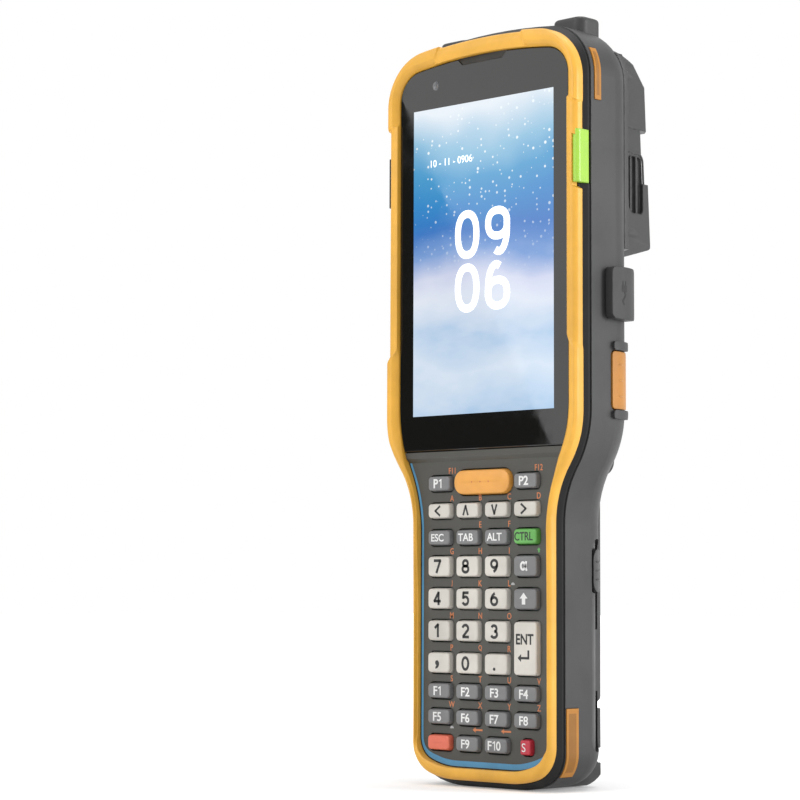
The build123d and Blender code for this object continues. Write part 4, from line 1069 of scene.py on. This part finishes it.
dice = np.random.default_rng(11)
dark_marks = []
bar_left = 0.07
while bar_left < 0.92:
    bar_width = bar_unit * dice.integers(1, 4)
    dark_marks.append(block(bar_left, min(bar_left + bar_width, 0.94), 0.235, 0.55))
    bar_left += bar_width + bar_unit * dice.integers(1, 4)
dark_marks += [block(0.025, 0.6, 0.775, 0.965), block(0.02, 0.98, 0.593, 0.6)]
dark_marks.append(label_word("012345", 2.3, 0.9, 0.012, 0.5, 0.13))
dark_marks.append(label_word("10-20-30-40", 1.5, 0.9, 0.012, 0.5, 0.68))
white_marks = [label_word("12 34 56", 1.5, 0.9, 0.01, 0.31, 0.87)]
white_marks.append(label_word("1", 2.0, 1.0, 0.02, 0.81, 0.875))
paper = ink("label_paper", (238, 238, 234), 0.5)
label_black = ink("label_black", (24, 24, 24), 0.45)
label_red = ink("label_red", (170, 34, 40), 0.45)
for name, marks, proud, sunk, colour in (
    ("label_sheet", [block(0, 1, 0, 1)], 0.14, 0.0, paper),
    ("label_print", dark_marks, 0.165, 0.1, label_black),
    ("label_red_block", [block(0.65, 0.965, 0.785, 0.965)], 0.165, 0.1, label_red),
    ("label_white_print", white_marks, 0.185, 0.1, paper),
):
    face, root = label_floor + proud, label_floor + sunk
    printed(name, marks, face, root, colour, HOUSING, "head_plastic", on_label)

# ---- screws and inserts ---------------------------------------------------
# Bright steel screws with a six-lobed recess hold the head, the strap bar and
# the cover's strap. Two knurled brass inserts take a clip-on grip.
# Each screw's place is x, z, the depth of its seat and the radius of its head.
screw_places = [(side * 31.6, z, 26.9, 1.7) for side in (-1, 1) for z in (164.3, 211.5)]
screw_places += [(side * 25.8, 130.8, 27.9, 1.7) for side in (-1, 1)]
screw_places.append((18.6, 143.9, 28.1, 2.1))
screw_head = 1.0
insert_x = 24.8
insert_z = 105.3
thread_floor = 22.6
thread_step = 0.25


def screw_rows(x, z, seat, radius):
    """A pan head seen from its top: recess floor, lobed wall, land, rounded rim and flat underside."""
    top = seat + screw_head
    rows = [(0, top - 0.45, 1), (0.42, top - 0.45, 1), (0.46, top, 1), (0.72, top)]
    rows += [(0.9, top - 0.06), (0.97, top - 0.2), (1.0, top - 0.4), (1.0, seat - 0.2), (0, seat - 0.2)]
    return turned([(row[0] * radius, *row[1:]) for row in rows], x, z, 60, lobes=0.14)


def insert_rows(side):
    """A threaded bore that zigzags inwards and outwards, a bevelled mouth and a knurled outside."""
    wall = [(1.32 if step % 2 else 1.18, thread_floor + thread_step * step) for step in range(18)]
    wall += [(1.3, 27.0), (1.55, 27.2), (2.45, 27.2), (2.65, 27.1, 1), (2.7, 26.8, 1), (2.7, 22.5, 1)]
    wall.append((1.3, 22.5))
    return looped(turned(wall, side * insert_x, insert_z, 72, lobes=0.018, lobe_count=18))


steel = moulded("plated_steel", (222, 220, 214), 0.3, bump=0.004, edge=0.08, rub=0.4, Metallic=0.85)
brass = moulded("turned_brass", (232, 210, 150), 0.3, bump=0.004, edge=0.06, rub=0.4, Metallic=0.8)
screw_mesh = grid_mesh(*(screw_rows(*place) for place in screw_places))
insert_mesh = grid_mesh(insert_rows(-1), insert_rows(1))
screws = piece("screw_heads", screw_mesh, steel, HOUSING)
inserts = piece("threaded_inserts", insert_mesh, brass, HOUSING)
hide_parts("fasteners")
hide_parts("fasteners")

# ---- cable socket and its cover -------------------------------------------
# A soft black plug cover with a moulded mark of a cable. A rubber web holds
# it to its strap.
soft_black = moulded("soft_rubber", (50, 50, 51), 0.55, edge=0.5, rub=0.2)
dress("port_cover", soft_black)
dress("port_cover_strap", soft_black)
plated = moulded("plated_contact", (226, 190, 120), 0.24, grain=0.4, bump=0.004, edge=0.08, Metallic=1.0)
dress("connectors", plated)
flap_turn = 13.9
flap_mark_y = 16.4
flap_low, flap_high = box_mm("port_cover")
flap_z = (flap_low[2] + flap_high[2]) / 2
web_outer = 12.0
web_inner = 11.2
web_first = 38
web_last = 64


def on_flap(points):
    """Flat marks laid on the cover's outer face: their depth counts outwards, their x along the depth."""
    y = flap_mark_y + points[:, 0]
    x = head_turn_x + np.sqrt(flap_turn**2 - np.maximum(y - turn_depth, 0) ** 2) + points[:, 1]
    return np.stack([x, y, points[:, 2]], axis=1)


def web_rows():
    """The web about the case's rounded edge: the outer arc and the inner one back, at five heights."""
    arcs = []
    for reach, first, last in ((web_outer, web_first, web_last), (web_inner, web_last, web_first)):
        angle = np.radians(np.linspace(first, last, 27))
        arcs.append(on_oval(angle, reach, reach, (head_turn_x, turn_depth)))
    loop = np.concatenate(arcs)
    steps = (-3.4, -3.2, 0.0, 3.2, 3.4)
    return capped(np.stack([np.insert(loop, 2, flap_z + step, axis=1) for step in steps]))


def in_scene(x, y, z):
    """A place of the scene in metres, from x, depth behind the glass's face and z in millimetres."""
    return (x * MM, glass_face + y * MM, z * MM)


plug = slab_mark([(-1.15, 0.3), (1.15, 0.3), (1.15, 2.3), (-1.15, 2.3)])
pin_outline = np.array([(0.35, 2.3), (0.85, 2.3), (0.85, 3.5), (0.35, 3.5)])
pins = [slab_mark(pin_outline * (side, 1)) for side in (1, -1)]
lead = np.stack([0.6 * np.sin(np.linspace(0, 2 * np.pi, 24)), np.linspace(0.4, -3.4, 24)], axis=1)
cable_marks = [(*mark, 0, flap_z) for mark in (plug, *pins, stroke_mark(lead, 0.55))]
# The moulded mark's strokes are near-black: painted shade of its sunken lines.
mark_painted_shade = ink("mark_painted_shade", (20, 20, 20), 0.6)
printed("cable_mark", cable_marks, 0.06, -0.15, mark_painted_shade, "port_flap", "soft_rubber", on_flap)
web = dressed("cover_web", grid_mesh(web_rows()), soft_black)
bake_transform(web)

# ---- strap bar ------------------------------------------------------------
# A die-cast bar that a hand strap loops behind, painted black and held by a
# screw at each end.
dress("strap_bar", moulded("black_paint", (56, 56, 57), 0.4, bump=0.012, edge=0.4, rub=0.7))

# ---- studio ---------------------------------------------------------------
# A pale floor, an even white room, three soft lamps, and a card and a flag
# that only show as reflections in glossy surfaces.
camera_turn = math.radians(44.20)
camera_rise = math.radians(-4.41)
camera_roll = math.radians(0.19)
camera_distance = 733.5 * MM
camera_aside = -24.3 * MM
camera_above = -42.9 * MM
focal_pixels = 2468.5
picture_pixels = 800
sensor_width = 36.0
card_ahead = 0.5
floor_half = 4.0
bpy.context.scene.view_settings.view_transform = "Standard"


def camera_frame():
    """The camera's place and axes, from its turn, rise and roll about the middle of the display."""
    back = Vector((
        math.sin(camera_turn) * math.cos(camera_rise),
        -math.cos(camera_turn) * math.cos(camera_rise),
        math.sin(camera_rise),
    ))
    level = Vector((0, 0, 1)).cross(back).normalized()
    upright = back.cross(level)
    right = math.cos(camera_roll) * level + math.sin(camera_roll) * upright
    up = math.cos(camera_roll) * upright - math.sin(camera_roll) * level
    place = Vector(in_scene(0, 0, panel_middle))
    place += camera_aside * right + camera_above * up + camera_distance * back
    return place, Matrix((right, up, back)).transposed().to_4x4()


def soft_lamp(name, place, aim, size, watts):
    """A square area lamp that looks from its place to the point it is aimed at."""
    data = bpy.data.lights.new(name, "AREA")
    data.energy = watts
    data.size = size
    away = Vector(place) - Vector(aim)
    lamp = linked(name, data)
    lamp.matrix_world = Matrix.Translation(place) @ away.to_track_quat("Z", "Y").to_matrix().to_4x4()


def room_world():
    """White to the camera, to mirrors and through glass; a plain level to everything else."""
    world = bpy.data.worlds.new("white_room")
    world.use_nodes = True
    tree = world.node_tree
    path = node(tree, "LightPath").outputs
    seen = worked(tree, "MAXIMUM", path["Is Camera Ray"], path["Is Transmission Ray"])
    clear = worked(tree, "MAXIMUM", seen, path["Is Glossy Ray"])
    background = tree.nodes["Background"].inputs
    feed(tree, background["Color"], WHITE)
    feed(tree, background["Strength"], mapped(tree, clear, 0.0, 1.0, 0.62, 1.0))
    return world


def floor_material():
    """Pale floor: it takes the shadow near the object and turns to plain white further out."""
    material = plain("pale_floor", Base_Color=(0.9, 0.9, 0.9, 1.0), Roughness=0.9, Specular_IOR_Level=0.0)
    tree = material.node_tree
    place = node(tree, "TexCoord").outputs["Object"]
    distance = node(tree, "VectorMath", place, operation="LENGTH").outputs["Value"]
    path = node(tree, "LightPath").outputs
    clear = worked(tree, "MAXIMUM", path["Is Camera Ray"], path["Is Glossy Ray"])
    strength = worked(tree, "MULTIPLY", mapped(tree, distance, 0.05, 0.5, 0.22, 1.0), clear)
    set_shader(material, Emission_Color=WHITE, Emission_Strength=strength)
    return material


def stage_sheet(name, corners, material):
    mesh = bpy.data.meshes.new(name)
    mesh.from_pydata([tuple(corner) for corner in corners], [], [list(range(len(corners)))])
    sheet = dressed(name, mesh, material)
    return sheet


def reflected_sheet(name, outline, radiance):
    """A sheet that shows only in mirrors, over an outline of x and z on the glass as the camera sees it.

    Each corner is found along the ray from the eye's mirror image through the place on the glass.
    """
    mirrored_eye = Vector((eye.x, 2 * glass_face - eye.y, eye.z))
    eye_depth = mirrored_eye.y - glass_face
    reach = (eye_depth + card_ahead) / eye_depth
    corners = [mirrored_eye + (Vector(in_scene(x, 0, z)) - mirrored_eye) * reach for x, z in outline]
    material = plain(name, Base_Color=BLACK, Specular_IOR_Level=0.0, Emission_Color=WHITE)
    set_shader(material, Emission_Strength=radiance)
    sheet = stage_sheet(name, corners, material)
    sheet.visible_camera = False
    sheet.visible_diffuse = False
    sheet.visible_shadow = False
    sheet.visible_transmission = False


eye, eye_axes = camera_frame()
camera_data = bpy.data.cameras.new("studio_camera")
camera_data.sensor_width = sensor_width
camera_data.lens = sensor_width * focal_pixels / picture_pixels
camera = linked("studio_camera", camera_data)
camera.matrix_world = Matrix.Translation(eye) @ eye_axes
bpy.context.scene.camera = camera
bpy.context.scene.world = room_world()
soft_lamp("key_lamp", (-0.25, -0.95, 0.75), (0, 0, 0.13), 0.6, 5.0)
soft_lamp("rim_lamp", (0.95, 0.45, 0.3), (0, 0, 0.15), 0.35, 5.5)
soft_lamp("top_lamp", (0.1, 0.2, 1.1), (0, 0, 0.1), 0.7, 4.0)
card_outline = [(-62.1, 260.9), (35.0, 84.8), (150, 84.8), (150, 320), (-62.1, 320)]
flag_outline = [(-62.1, 260.9), (-150, 260.9), (-150, 84.8), (35.0, 84.8)]
reflected_sheet("bright_card", card_outline, 2.0)
reflected_sheet("black_flag", flag_outline, 0.0)
floor_corners = floor_half * np.array([(-1, -1, 0), (1, -1, 0), (1, 1, 0), (-1, 1, 0)])
stage_sheet("floor", floor_corners, floor_material())
